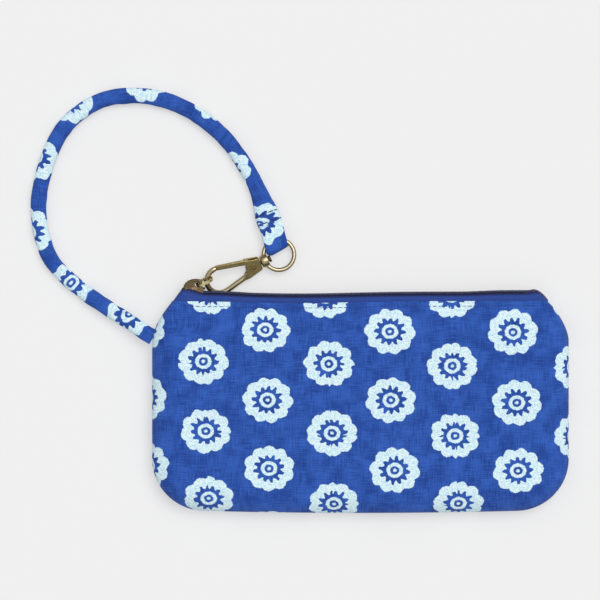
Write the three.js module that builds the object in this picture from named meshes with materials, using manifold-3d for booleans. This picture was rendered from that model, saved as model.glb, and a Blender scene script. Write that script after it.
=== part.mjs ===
// Zip wristlet pouch in printed cotton, lying on its back, with a wrist strap clipped to the zip pull.
// Millimetres, +Z up out of the front panel, +Y towards the zip, +X towards the closed end of the zip.
// The origin is the middle of the back panel's flat face.
import * as THREE from "three";
import { mergeVertices } from "three/addons/utils/BufferGeometryUtils.js";
import Module from "manifold-3d";

const wasm = await Module();
wasm.setup();

// Pouch outline
const POUCH_HALF_WIDTH = 102.4;
const POUCH_BOTTOM_Y = -55.0;
const POUCH_HEIGHT = 104.2;
const CORNER_RADIUS = 26.0;
const SHOULDER_DEPTH = 19.2;
const SHOULDER_INSET = 10.0;
const SHOULDER_POWER = 1.6;

// Pouch section
const SEAM_Z = 7.2;
const SEAM_GAP = 0.9;
const FRONT_RISE = 7.6;
const MOUTH_RISE = 4.7;
const EDGE_ROUND = 14.0;
const MOUTH_END_ROUND = 3.5;
const END_ROUND_LOW = 25.2;
const END_ROUND_HIGH = 3.0;
const EDGE_STEPS = [0, 0.05, 0.2, 0.5, 1];
const MIDDLE_COLUMNS = 6;
const MIDDLE_ROWS = 9;
const ROW_START = 7.0;

// Cloth layers
const CLEARANCE = 0.3;
const OUTER_THICKNESS = 0.9;
const INTERLINING_THICKNESS = 1.3;
const LINING_THICKNESS = 0.5;
const INTERLINING_MOUTH_DROP = 3.7;
const LINING_MOUTH_DROP = 0.6;

// Zip tape and teeth
const TAPE_THICKNESS = 0.6;
const TAPE_ABOVE_MOUTH = 3.6;
const TAPE_TAIL = 6.9;
const TAPE_INNER_Z = 0.6;
const TAPE_OUTER_Z = 3.7;
const TAPE_START_INSET = 13.4;
const TAPE_END_INSET = 13.9;
const TEETH_START_INSET = 4.8;
const TEETH_END_INSET = 4.1;
const TOOTH_PITCH = 2.4;
const TOOTH_WIDTH = 0.8;
const TOOTH_REACH = 0.6;
const COIL_BEAD_INNER_Z = 0.9;
const COIL_BEAD_OUTER_Z = 1.7;
const COIL_HEIGHT = 1.6;
const COIL_SEAT = 0.1;
const STOP_LENGTH = 1.3;
const STOP_HEIGHT = 1.3;
const STOP_OUTER_Z = 2.0;

// Slider
const SLIDER_INSET = 2.0;
const SLIDER_LENGTH = 10.6;
const SLIDER_HALF_WIDTH = 3.3;
const SLIDER_NECK_HALF_WIDTH = 2.9;
const PLATE_CORNER = 0.9;
const PLATE_SHOULDER = 0.4;
const PLATE_WAIST = 0.65;
const SLIDER_INNER_HALF_WIDTH = 2.6;
const SLIDER_PLATE = 1.2;
const SLIDER_FLANGE = 0.9;
const SLIDER_POST_LENGTH = 2.0;
const SLIDER_POST_WIDTH = 0.6;
const BRIDGE_WIDTH = 1.8;
const BRIDGE_THICKNESS = 1.2;
const BRIDGE_END = 1.6;
const BRIDGE_LENGTH = 6.4;
const BRIDGE_RISE = 3.9;
const BRIDGE_BEND = 2.34;

// Pull tab
const TAB_ANGLE = 23.7;
const TAB_TILT = 20.0;
const TAB_SLOT_LENGTH = 6.6;
const TAB_SLOT_WIDTH = 5.6;
const TAB_SLOT_CORNER = 2.0;
const TAB_RIM = 1.15;
const TAB_THICKNESS = 1.2;
const TAB_BAR_INSET = 2.3;
const TAB_BAR_RISE = 1.35;

// Clasp
const CLASP_FROM_SLIDER = 7.3;
const CLASP_ABOVE_TAPE = 6.7;
const CLASP_Z = 4.5;
const CLASP_TURN = 23.4;
const CLASP_ROLL = 25.0;
const CLASP_PITCH = 2.0;
const HOOK_RADIUS = 6.7;
const HOOK_WIRE = 2.3;
const ARM_ANGLE = 13.6;
const NOSE_ANGLE = 84.0;
const HOOK_STEPS = 12;
const BLOCK_START = 13.6;
const BLOCK_LENGTH = 8.1;
const BLOCK_HALF_WIDTH = 4.2;
const BLOCK_THICKNESS = 4.0;
const BLOCK_SLOT = 2.4;
const BLOCK_END_WALL = 1.4;
const BLOCK_FLOOR = 1.6;
const BLOCK_ROOF = 0.9;
const RIVET_FROM_START = 4.2;
const RIVET_RADIUS = 0.8;
const RIVET_HEAD_RADIUS = 1.5;
const RIVET_HEAD_HEIGHT = 0.5;
const RIVET_SEAT = 0.1;
const GATE_THICKNESS = 1.8;
const GATE_WIDTH = 2.0;
const GATE_EYE_RADIUS = 2.0;
const GATE_EYE_STEPS = 9;
const GATE_NOSE_GAP = 1.0;
const SPRING_RADIUS = 0.75;
const SPRING_WIRE = 0.3;
const SPRING_TURNS = 4;
const SPRING_STEPS = 8;
const SPRING_SIDES = 5;
const SPRING_FROM_START = 0.9;

// Swivel ring
const RING_RADIUS = 7.55;
const RING_WIRE = 2.1;
const HUB_RADIUS = 2.75;
const HUB_LENGTH = 3.8;
const HUB_TO_RING = 0.15;
const PIN_RADIUS = 1.0;
const PIN_HEAD_RADIUS = 1.7;
const PIN_HEAD_LENGTH = 1.2;
const RING_SIDES = 8;
const RING_STEPS = 28;

// Strap
const STRAP_WIDTH = 7.8;
const STRAP_HEIGHT = 5.0;
const STRAP_SIDES = 10;
const STRAP_STEPS = 56;
const SEAM_TAB_WIDTH = 7.4;
const SEAM_TAB_THICKNESS = 0.4;
const SEAM_TAB_DEPTH = 7.0;
const SEAM_TAB_OUT = 2.0;
const STRAP_BELOW_MOUTH = 17.6;
const STRAP_EXIT_ANGLE = 149.5;
const LOOP_WIDTH = 11.0;
const LOOP_LEG = 1.5;
const LOOP_LENGTH = 7.4;
const LOOP_SWING = -8.0;
// Places along the strap: [from the side seam, from the mouth, height]
const STRAP_ROUTE = [
  [-7.60, -12.60, 6.4],
  [-18.40, -5.80, 4.4],
  [-38.00, 7.80, 2.8],
  [-51.10, 22.20, 2.8],
  [-56.30, 44.70, 2.8],
  [-52.70, 66.80, 2.8],
  [-42.90, 86.50, 2.8],
  [-25.70, 98.80, 2.8],
  [-6.00, 101.20, 2.8],
  [13.70, 96.30, 2.8],
  [33.30, 82.70, 2.8],
  [44.30, 68.80, 2.8],
  [52.10, 54.50, 2.9],
  [55.80, 44.20, 3.1],
  [58.23, 37.54, 3.4],
];

const RAD = Math.PI / 180;
const WELD = 1e-4;
const ROD_SIDES = 14;
const TURNED_SIDES = 12;
const WIRE_SIDES = 8;
const MOUTH_Y = POUCH_BOTTOM_Y + POUCH_HEIGHT;
const SHOULDER_Y = MOUTH_Y - SHOULDER_DEPTH;
const TAPE_TOP_Y = MOUTH_Y + TAPE_ABOVE_MOUTH;
const TAPE_START_X = -POUCH_HALF_WIDTH + TAPE_START_INSET;
const TAPE_END_X = POUCH_HALF_WIDTH - TAPE_END_INSET;
const TEETH_START_X = TAPE_START_X + TEETH_START_INSET;
const TEETH_END_X = TAPE_END_X - TEETH_END_INSET;
const SLIDER_START_X = TAPE_START_X + SLIDER_INSET;
const CLASP_X = SLIDER_START_X + SLIDER_LENGTH + CLASP_FROM_SLIDER;
const CLASP_Y = TAPE_TOP_Y + CLASP_ABOVE_TAPE;
const STRAP_EXIT_Y = MOUTH_Y - STRAP_BELOW_MOUTH;
const HALF_GAP = SEAM_GAP / 2;
const BACK_RISE = SEAM_Z - HALF_GAP;

const printedCotton = { color: 0x2b50ad, roughness: 0.9, metalness: 0 };
const wadding = { color: 0xe9e4d8, roughness: 1, metalness: 0 };
const liningCotton = { color: 0xd9d0bb, roughness: 0.9, metalness: 0 };
const tapeWeave = { color: 0x27429b, roughness: 0.85, metalness: 0 };
const coilNylon = { color: 0x1e2748, roughness: 0.5, metalness: 0 };
const antiqueBrass = { color: 0x7d6b3a, roughness: 0.38, metalness: 1 };
const springSteel = { color: 0x9a9a98, roughness: 0.35, metalness: 1 };

// Geometry to solid and back

function solidOf(geometry) {
  const bare = geometry.clone();
  bare.deleteAttribute("normal");
  bare.deleteAttribute("uv");
  const merged = mergeVertices(bare, WELD);
  const triVerts = Uint32Array.from(merged.index.array);
  const vertProperties = Float32Array.from(merged.attributes.position.array);
  return new wasm.Manifold(new wasm.Mesh({ numProp: 3, vertProperties, triVerts }));
}

function geometryOf(solid) {
  const mesh = solid.getMesh();
  const geometry = new THREE.BufferGeometry();
  geometry.setAttribute("position", new THREE.BufferAttribute(mesh.vertProperties, 3));
  geometry.setIndex(new THREE.BufferAttribute(mesh.triVerts, 1));
  geometry.computeVertexNormals();
  return geometry;
}

function piece(name, geometry, look) {
  const mesh = new THREE.Mesh(geometry, new THREE.MeshStandardMaterial(look));
  mesh.name = name;
  return mesh;
}

function extruded(shape, depth, curveSegments = 6) {
  const geometry = new THREE.ExtrudeGeometry(shape, { depth, bevelEnabled: false, curveSegments });
  return geometry.translate(0, 0, -depth / 2);
}

function polygon(points) {
  return new THREE.Shape(points.map(([x, y]) => new THREE.Vector2(x, y)));
}

function box(x0, x1, y0, y1, z0, z1) {
  const geometry = new THREE.BoxGeometry(x1 - x0, y1 - y0, z1 - z0);
  return geometry.translate((x0 + x1) / 2, (y0 + y1) / 2, (z0 + z1) / 2);
}

// A turned piece round Y, from [radius, height] pairs
function turned(profile) {
  return new THREE.LatheGeometry(profile.map(([r, h]) => new THREE.Vector2(r, h)), TURNED_SIDES);
}

// A round bar along X
function rod(radius, x0, x1) {
  const geometry = new THREE.CylinderGeometry(radius, radius, x1 - x0, ROD_SIDES);
  return geometry.rotateZ(-Math.PI / 2).translate((x0 + x1) / 2, 0, 0);
}

// A profile drawn in the plane across the zip, in (y, z), extruded along X from x0 to x1
function alongZip(shape, x0, x1) {
  const geometry = new THREE.ExtrudeGeometry(shape, { depth: x1 - x0, bevelEnabled: false });
  const basis = new THREE.Matrix4().makeBasis(
    new THREE.Vector3(0, 1, 0), new THREE.Vector3(0, 0, 1), new THREE.Vector3(1, 0, 0));
  return geometry.applyMatrix4(basis).translate(x0, 0, 0);
}

// A shape drawn in (x, z) that stands over the tape from y0 up to y1
function overTape(shape, y0, y1) {
  const geometry = new THREE.ExtrudeGeometry(shape, { depth: y1 - y0, bevelEnabled: false });
  const basis = new THREE.Matrix4().makeBasis(
    new THREE.Vector3(1, 0, 0), new THREE.Vector3(0, 0, 1), new THREE.Vector3(0, -1, 0));
  return geometry.applyMatrix4(basis).translate(0, y1, 0);
}

// A bar from x0 to x1 with rounded corners
function roundedBar(x0, x1, width, radius) {
  const h = width / 2;
  const shape = new THREE.Shape();
  shape.moveTo(x0 + radius, -h);
  shape.lineTo(x1 - radius, -h);
  shape.absarc(x1 - radius, -h + radius, radius, -Math.PI / 2, 0);
  shape.absarc(x1 - radius, h - radius, radius, 0, Math.PI / 2);
  shape.absarc(x0 + radius, h - radius, radius, Math.PI / 2, Math.PI);
  shape.absarc(x0 + radius, -h + radius, radius, Math.PI, 1.5 * Math.PI);
  return shape;
}

function disc(x, y, radius) {
  const shape = new THREE.Shape();
  shape.absarc(x, y, radius, 0, 2 * Math.PI);
  return shape;
}

// A bent wire of round or oval section through the given points
function wire(points, heightAcross, widthAcross, sides, steps) {
  const stations = points.map((point) => new THREE.Vector3(...point));
  const extrudePath = new THREE.CatmullRomCurve3(stations, false, "centripetal");
  const section = [];
  for (let i = 0; i < sides; i++) {
    const angle = (i / sides) * 2 * Math.PI;
    section.push([heightAcross / 2 * Math.cos(angle), widthAcross / 2 * Math.sin(angle)]);
  }
  return new THREE.ExtrudeGeometry(polygon(section), { steps, bevelEnabled: false, extrudePath });
}

// Padded pouch panels

function roundedRise(share) {
  const t = Math.min(Math.max(share, 0), 1);
  return Math.sqrt(1 - (1 - t) * (1 - t));
}

function smooth(from, to, value) {
  const t = Math.min(Math.max((value - from) / (to - from), 0), 1);
  return t * t * (3 - 2 * t);
}

function halfWidth(y, inset) {
  const radius = CORNER_RADIUS - inset;
  const up = Math.min(y - POUCH_BOTTOM_Y - inset, radius);
  const corner = radius - Math.sqrt(Math.max(radius * radius - (radius - up) * (radius - up), 0));
  const share = Math.max(y - SHOULDER_Y, 0) / (MOUTH_Y - SHOULDER_Y);
  return POUCH_HALF_WIDTH - inset - corner - SHOULDER_INSET * Math.pow(share, SHOULDER_POWER);
}

function endRound(y) {
  return EDGE_ROUND + (MOUTH_END_ROUND - EDGE_ROUND) * smooth(MOUTH_Y - END_ROUND_LOW, MOUTH_Y - END_ROUND_HIGH, y);
}

// One surface of a half pouch: a grid of points, inset from the outline and sunk below the outer face
function panelSurface(side, rise, inset, topY) {
  const bottom = POUCH_BOTTOM_Y + inset;
  const ys = EDGE_STEPS.map((step) => bottom + step * EDGE_ROUND);
  const firstRow = POUCH_BOTTOM_Y + EDGE_ROUND + ROW_START;
  for (let i = 0; i < MIDDLE_ROWS; i++) {
    const y = firstRow + (MOUTH_Y - firstRow) * Math.sin((i / MIDDLE_ROWS) * Math.PI / 2);
    if (y < topY - CLEARANCE) ys.push(y);
  }
  ys.push(topY);
  return ys.map((y) => {
    const w = halfWidth(y, inset);
    const round = endRound(y);
    const left = EDGE_STEPS.map((step) => -w + step * round);
    const middle = [];
    for (let i = 1; i < MIDDLE_COLUMNS; i++) {
      middle.push((2 * i / MIDDLE_COLUMNS - 1) * (w - round));
    }
    const right = left.map((x) => -x).reverse();
    const up = roundedRise((y - bottom) / EDGE_ROUND);
    const crest = rise + (MOUTH_RISE - rise) * smooth(SHOULDER_Y, MOUTH_Y, y) - inset;
    return [...left, ...middle, ...right].map((x) => {
      const across = roundedRise((w - Math.abs(x)) / round);
      return [x, y, SEAM_Z + side * (HALF_GAP + crest * up * across)];
    });
  });
}

// A closed layer between two such surfaces
function panelLayer(side, rise, inset, thickness, topY) {
  const outer = panelSurface(side, rise, inset, topY);
  const inner = panelSurface(side, rise, inset + thickness, topY);
  const rows = outer.length;
  const columns = outer[0].length;
  const positions = [...outer.flat(2), ...inner.flat(2)];
  const index = [];
  const at = (layer, row, column) => layer * rows * columns + row * columns + column;
  const quad = (a, b, c, d) => {
    if (side > 0) index.push(a, b, c, a, c, d);
    else index.push(a, c, b, a, d, c);
  };
  for (let r = 0; r + 1 < rows; r++) {
    for (let c = 0; c + 1 < columns; c++) {
      quad(at(0, r, c), at(0, r, c + 1), at(0, r + 1, c + 1), at(0, r + 1, c));
      quad(at(1, r, c), at(1, r + 1, c), at(1, r + 1, c + 1), at(1, r, c + 1));
    }
  }
  for (let c = 0; c + 1 < columns; c++) {
    quad(at(0, 0, c), at(1, 0, c), at(1, 0, c + 1), at(0, 0, c + 1));
    const top = rows - 1;
    quad(at(0, top, c), at(0, top, c + 1), at(1, top, c + 1), at(1, top, c));
  }
  for (let r = 0; r + 1 < rows; r++) {
    quad(at(0, r, 0), at(0, r + 1, 0), at(1, r + 1, 0), at(1, r, 0));
    const end = columns - 1;
    quad(at(0, r, end), at(1, r, end), at(1, r + 1, end), at(0, r + 1, end));
  }
  const geometry = new THREE.BufferGeometry();
  geometry.setAttribute("position", new THREE.Float32BufferAttribute(positions, 3));
  geometry.setIndex(index);
  geometry.computeVertexNormals();
  return geometry;
}

function halfPouch(name, side, rise) {
  const group = new THREE.Group();
  const interliningInset = OUTER_THICKNESS + CLEARANCE;
  const liningInset = interliningInset + INTERLINING_THICKNESS + CLEARANCE;
  const interliningTop = MOUTH_Y - INTERLINING_MOUTH_DROP;
  const outer = panelLayer(side, rise, 0, OUTER_THICKNESS, MOUTH_Y);
  const middle = panelLayer(side, rise, interliningInset, INTERLINING_THICKNESS, interliningTop);
  const inner = panelLayer(side, rise, liningInset, LINING_THICKNESS, MOUTH_Y - LINING_MOUTH_DROP);
  group.add(piece(`${name}_outer_panel`, outer, printedCotton));
  group.add(piece(`${name}_interlining`, middle, wadding));
  group.add(piece(`${name}_lining`, inner, liningCotton));
  return group;
}

// Zip: tapes, toothed coils and stops

const TAPE_FACE_Y = TAPE_TOP_Y + COIL_SEAT;

function zipTape(name, side) {
  const z = (offset) => SEAM_Z + side * offset;
  const under = TAPE_TOP_Y - TAPE_THICKNESS;
  const tail = TAPE_TOP_Y - TAPE_TAIL;
  const inside = TAPE_OUTER_Z - TAPE_THICKNESS;
  const section = polygon([
    [TAPE_TOP_Y, z(TAPE_INNER_Z)],
    [TAPE_TOP_Y, z(TAPE_OUTER_Z)],
    [tail, z(TAPE_OUTER_Z)],
    [tail, z(inside)],
    [under, z(inside)],
    [under, z(TAPE_INNER_Z)],
  ]);
  return piece(name, alongZip(section, TAPE_START_X, TAPE_END_X), tapeWeave);
}

// A row of teeth on its bead; the other side's teeth stand half a pitch further on
function zipCoil(name, side) {
  const z = (offset) => SEAM_Z + side * offset;
  const first = TEETH_START_X + CLEARANCE + (side > 0 ? 0 : TOOTH_PITCH / 2);
  const points = [
    [TEETH_START_X, z(COIL_BEAD_OUTER_Z)],
    [TEETH_START_X, z(COIL_BEAD_INNER_Z)],
  ];
  for (let x = first; x + TOOTH_WIDTH + CLEARANCE < TEETH_END_X; x += TOOTH_PITCH) {
    points.push([x, z(COIL_BEAD_INNER_Z)]);
    points.push([x, z(-TOOTH_REACH)]);
    points.push([x + TOOTH_WIDTH, z(-TOOTH_REACH)]);
    points.push([x + TOOTH_WIDTH, z(COIL_BEAD_INNER_Z)]);
  }
  points.push([TEETH_END_X, z(COIL_BEAD_INNER_Z)]);
  points.push([TEETH_END_X, z(COIL_BEAD_OUTER_Z)]);
  return piece(name, overTape(polygon(points), TAPE_FACE_Y, TAPE_FACE_Y + COIL_HEIGHT), coilNylon);
}

// A stop crimped on the tape from x0 on, between two distances from the zip's middle
function zipStop(name, x0, fromZ, toZ) {
  const x1 = x0 + STOP_LENGTH;
  const shape = polygon([
    [x0, SEAM_Z + fromZ],
    [x1, SEAM_Z + fromZ],
    [x1, SEAM_Z + toZ],
    [x0, SEAM_Z + toZ],
  ]);
  return piece(name, overTape(shape, TAPE_FACE_Y, TAPE_FACE_Y + STOP_HEIGHT), antiqueBrass);
}

function topStop(name, side) {
  const x0 = SLIDER_START_X - CLEARANCE - STOP_LENGTH;
  return zipStop(name, x0, side * COIL_BEAD_INNER_Z, side * STOP_OUTER_Z);
}

function bottomStop(name) {
  return zipStop(name, TEETH_END_X + CLEARANCE, -STOP_OUTER_Z, STOP_OUTER_Z);
}

// Slider

const SLIDER_END_X = SLIDER_START_X + SLIDER_LENGTH;
const OUTER_PLATE_Y = TAPE_FACE_Y + COIL_HEIGHT + CLEARANCE;
const SLIDER_TOP_Y = OUTER_PLATE_Y + SLIDER_PLATE;
const INNER_PLATE_TOP_Y = TAPE_TOP_Y - TAPE_THICKNESS - CLEARANCE;
const BRIDGE_X1 = SLIDER_END_X - BRIDGE_END;
const BRIDGE_X0 = BRIDGE_X1 - BRIDGE_LENGTH;
const BRIDGE_TOP_Y = SLIDER_TOP_Y + BRIDGE_RISE;

// Shield outline of a slider plate, wide at the divided end and narrow behind
function plateShape(wide, narrow) {
  const half = [
    [SLIDER_START_X, wide - PLATE_CORNER],
    [SLIDER_START_X + PLATE_CORNER, wide],
    [SLIDER_START_X + SLIDER_LENGTH * PLATE_SHOULDER, wide],
    [SLIDER_START_X + SLIDER_LENGTH * PLATE_WAIST, narrow],
    [SLIDER_END_X - PLATE_CORNER, narrow],
    [SLIDER_END_X, narrow - PLATE_CORNER],
  ];
  const other = half.map(([x, z]) => [x, -z]).reverse();
  return polygon([...half, ...other].map(([x, z]) => [x, SEAM_Z + z]));
}

// The arch that the pull tab hangs from
function bridgeShape() {
  const base = SLIDER_TOP_Y - CLEARANCE;
  const inside = BRIDGE_TOP_Y - BRIDGE_THICKNESS;
  const innerBend = BRIDGE_BEND - BRIDGE_THICKNESS;
  const left = BRIDGE_X0 + BRIDGE_THICKNESS;
  const right = BRIDGE_X1 - BRIDGE_THICKNESS;
  const shape = new THREE.Shape();
  shape.moveTo(BRIDGE_X0, base);
  shape.lineTo(left, base);
  shape.lineTo(left, inside - innerBend);
  shape.quadraticCurveTo(left, inside, left + innerBend, inside);
  shape.lineTo(right - innerBend, inside);
  shape.quadraticCurveTo(right, inside, right, inside - innerBend);
  shape.lineTo(right, base);
  shape.lineTo(BRIDGE_X1, base);
  shape.lineTo(BRIDGE_X1, BRIDGE_TOP_Y - BRIDGE_BEND);
  shape.quadraticCurveTo(BRIDGE_X1, BRIDGE_TOP_Y, BRIDGE_X1 - BRIDGE_BEND, BRIDGE_TOP_Y);
  shape.lineTo(BRIDGE_X0 + BRIDGE_BEND, BRIDGE_TOP_Y);
  shape.quadraticCurveTo(BRIDGE_X0, BRIDGE_TOP_Y, BRIDGE_X0, BRIDGE_TOP_Y - BRIDGE_BEND);
  return shape;
}

function slider() {
  const outerShape = plateShape(SLIDER_HALF_WIDTH, SLIDER_NECK_HALF_WIDTH);
  const innerShape = plateShape(SLIDER_INNER_HALF_WIDTH, SLIDER_INNER_HALF_WIDTH);
  const outerPlate = solidOf(overTape(outerShape, OUTER_PLATE_Y, SLIDER_TOP_Y));
  const innerPlate = solidOf(overTape(innerShape, INNER_PLATE_TOP_Y - SLIDER_PLATE, INNER_PLATE_TOP_Y));
  const postStart = SLIDER_START_X + CLEARANCE;
  const post = solidOf(box(
    postStart, postStart + SLIDER_POST_LENGTH,
    INNER_PLATE_TOP_Y - CLEARANCE, OUTER_PLATE_Y + CLEARANCE,
    SEAM_Z - SLIDER_POST_WIDTH / 2, SEAM_Z + SLIDER_POST_WIDTH / 2));
  const bridge = solidOf(extruded(bridgeShape(), BRIDGE_WIDTH, 4).translate(0, 0, SEAM_Z));
  let solid = outerPlate.add(innerPlate).add(post).add(bridge);
  for (const side of [-1, 1]) {
    const near = SEAM_Z + side * (COIL_BEAD_OUTER_Z + CLEARANCE);
    const far = near + side * SLIDER_FLANGE;
    solid = solid.add(solidOf(box(
      SLIDER_START_X + 2 * SLIDER_FLANGE, SLIDER_END_X - SLIDER_FLANGE,
      TAPE_TOP_Y + CLEARANCE, OUTER_PLATE_Y + CLEARANCE,
      Math.min(near, far), Math.max(near, far))));
  }
  return piece("zip_slider", geometryOf(solid), antiqueBrass);
}

// Pull tab: an oval link hung on the bridge, with its bar in the tunnel

const TAB_PIVOT_X = BRIDGE_X1 - TAB_BAR_INSET;
const TAB_PIVOT_Y = SLIDER_TOP_Y + TAB_BAR_RISE;

function pullTab() {
  const start = -TAB_RIM / 2;
  const slotStart = start + TAB_RIM;
  const slotEnd = slotStart + TAB_SLOT_LENGTH;
  const width = TAB_SLOT_WIDTH + 2 * TAB_RIM;
  const shape = roundedBar(start, slotEnd + TAB_RIM, width, TAB_SLOT_CORNER + TAB_RIM);
  shape.holes.push(roundedBar(slotStart, slotEnd, TAB_SLOT_WIDTH, TAB_SLOT_CORNER));
  const mesh = piece("pull_tab", extruded(shape, TAB_THICKNESS, 5), antiqueBrass);
  mesh.rotation.set(Math.PI / 2 + TAB_TILT * RAD, 0, 0);
  const group = new THREE.Group();
  group.position.set(TAB_PIVOT_X, TAB_PIVOT_Y, SEAM_Z);
  group.rotation.set(0, 0, TAB_ANGLE * RAD);
  group.add(mesh);
  return group;
}

// Clasp, drawn flat with its hook round the origin and its ring along +X

const BLOCK_END = BLOCK_START + BLOCK_LENGTH;
const RIVET_X = BLOCK_START + RIVET_FROM_START;
const ARM_APEX = HOOK_RADIUS / Math.sin(ARM_ANGLE * RAD);
const HUB_START = BLOCK_END + CLEARANCE;
const HUB_END = HUB_START + HUB_LENGTH;
const RING_X = HUB_START + HUB_LENGTH / 2 + RING_RADIUS + HUB_TO_RING;

// Half height of the teardrop's straight arms at a distance along the clasp
function armOffset(x) {
  return (ARM_APEX - x) * Math.tan(ARM_ANGLE * RAD);
}

function hookRoute() {
  const root = BLOCK_START + HOOK_WIRE;
  const points = [[root, -armOffset(root), 0], [BLOCK_START / 2, -armOffset(BLOCK_START / 2), 0]];
  const from = 270 + ARM_ANGLE;
  for (let i = 0; i <= HOOK_STEPS; i++) {
    const angle = (from + (NOSE_ANGLE - from) * i / HOOK_STEPS) * RAD;
    points.push([HOOK_RADIUS * Math.cos(angle), HOOK_RADIUS * Math.sin(angle), 0]);
  }
  return points;
}

function claspBody() {
  const chamfer = BLOCK_FLOOR / 2;
  const outline = polygon([
    [BLOCK_START, -BLOCK_HALF_WIDTH],
    [BLOCK_END - chamfer, -BLOCK_HALF_WIDTH],
    [BLOCK_END, -BLOCK_HALF_WIDTH + chamfer],
    [BLOCK_END, BLOCK_HALF_WIDTH - chamfer],
    [BLOCK_END - chamfer, BLOCK_HALF_WIDTH],
    [BLOCK_START + chamfer, BLOCK_HALF_WIDTH],
    [BLOCK_START, BLOCK_HALF_WIDTH - chamfer],
  ]);
  const hook = solidOf(wire(hookRoute(), HOOK_WIRE, HOOK_WIRE, WIRE_SIDES, 2 * HOOK_STEPS));
  const slot = solidOf(box(
    BLOCK_START - HOOK_WIRE, BLOCK_END - BLOCK_END_WALL,
    -BLOCK_HALF_WIDTH + BLOCK_FLOOR, BLOCK_HALF_WIDTH - BLOCK_ROOF,
    -BLOCK_SLOT / 2, BLOCK_SLOT / 2));
  const slotMouth = solidOf(box(
    BLOCK_START - HOOK_WIRE, RIVET_X,
    -BLOCK_HALF_WIDTH + BLOCK_FLOOR, BLOCK_HALF_WIDTH + HOOK_WIRE,
    -BLOCK_SLOT / 2, BLOCK_SLOT / 2));
  const rivetHole = solidOf(extruded(disc(RIVET_X, 0, RIVET_RADIUS + CLEARANCE), 2 * BLOCK_THICKNESS));
  const pinHole = solidOf(rod(PIN_RADIUS + CLEARANCE, RIVET_X, HUB_END));
  const block = solidOf(extruded(outline, BLOCK_THICKNESS));
  const filled = block.add(hook).subtract(slot).subtract(slotMouth);
  const solid = filled.subtract(rivetHole).subtract(pinHole);
  return piece("clasp_body", geometryOf(solid), antiqueBrass);
}

function claspGate() {
  const tip = HOOK_RADIUS * Math.cos(NOSE_ANGLE * RAD) + GATE_NOSE_GAP;
  const half = GATE_WIDTH / 2 / Math.cos(ARM_ANGLE * RAD);
  const shoulder = RIVET_X - GATE_EYE_RADIUS - SPRING_RADIUS;
  const points = [
    [tip, armOffset(tip) - half],
    [shoulder, armOffset(shoulder) - half],
  ];
  for (let i = 0; i <= GATE_EYE_STEPS; i++) {
    const angle = Math.PI * (1 + 1.25 * i / GATE_EYE_STEPS);
    points.push([RIVET_X + GATE_EYE_RADIUS * Math.cos(angle), GATE_EYE_RADIUS * Math.sin(angle)]);
  }
  points.push([shoulder + GATE_WIDTH / 2, armOffset(shoulder) + half]);
  points.push([tip, armOffset(tip) + half]);
  const shape = polygon(points);
  shape.holes.push(disc(RIVET_X, 0, RIVET_RADIUS + CLEARANCE));
  return piece("clasp_gate", extruded(shape, GATE_THICKNESS), antiqueBrass);
}

function gateRivet() {
  const face = BLOCK_THICKNESS / 2 + RIVET_SEAT;
  const top = face + RIVET_HEAD_HEIGHT;
  const profile = [
    [0, -top], [RIVET_HEAD_RADIUS, -top], [RIVET_HEAD_RADIUS, -face], [RIVET_RADIUS, -face],
    [RIVET_RADIUS, face], [RIVET_HEAD_RADIUS, face], [RIVET_HEAD_RADIUS, top], [0, top],
  ];
  const mesh = piece("gate_rivet", turned(profile).rotateX(Math.PI / 2), antiqueBrass);
  mesh.position.x = RIVET_X;
  return mesh;
}

// The spring stands between the block's floor and the gate
function gateSpring() {
  const x = BLOCK_START + SPRING_FROM_START;
  const low = -BLOCK_HALF_WIDTH + BLOCK_FLOOR + CLEARANCE + SPRING_WIRE / 2;
  const slope = Math.tan(ARM_ANGLE * RAD);
  const under = armOffset(x + SPRING_RADIUS) - GATE_WIDTH / 2 / Math.cos(ARM_ANGLE * RAD);
  const high = under - CLEARANCE - SPRING_WIRE * (0.5 + slope);
  const points = [];
  const steps = SPRING_TURNS * SPRING_STEPS;
  for (let i = 0; i <= steps; i++) {
    const angle = i / SPRING_STEPS * 2 * Math.PI;
    const y = low + (high - low) * i / steps;
    points.push([x + SPRING_RADIUS * Math.cos(angle), y, SPRING_RADIUS * Math.sin(angle)]);
  }
  const coil = wire(points, SPRING_WIRE, SPRING_WIRE, SPRING_SIDES, steps);
  return piece("gate_spring", coil, springSteel);
}

function swivelPin() {
  const start = BLOCK_END - BLOCK_END_WALL + CLEARANCE;
  const neck = HUB_END + CLEARANCE;
  const profile = [
    [0, start], [PIN_RADIUS, start], [PIN_RADIUS, neck],
    [PIN_HEAD_RADIUS, neck], [PIN_HEAD_RADIUS, neck + PIN_HEAD_LENGTH], [0, neck + PIN_HEAD_LENGTH],
  ];
  return piece("swivel_pin", turned(profile).rotateZ(-Math.PI / 2), antiqueBrass);
}

function swivelRing() {
  const ring = new THREE.TorusGeometry(RING_RADIUS, RING_WIRE / 2, RING_SIDES, RING_STEPS).translate(RING_X, 0, 0);
  const hub = solidOf(rod(HUB_RADIUS, HUB_START, HUB_END));
  const bore = solidOf(rod(PIN_RADIUS + CLEARANCE, BLOCK_START, RING_X));
  return piece("swivel_ring", geometryOf(solidOf(ring).add(hub).subtract(bore)), antiqueBrass);
}

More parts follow.
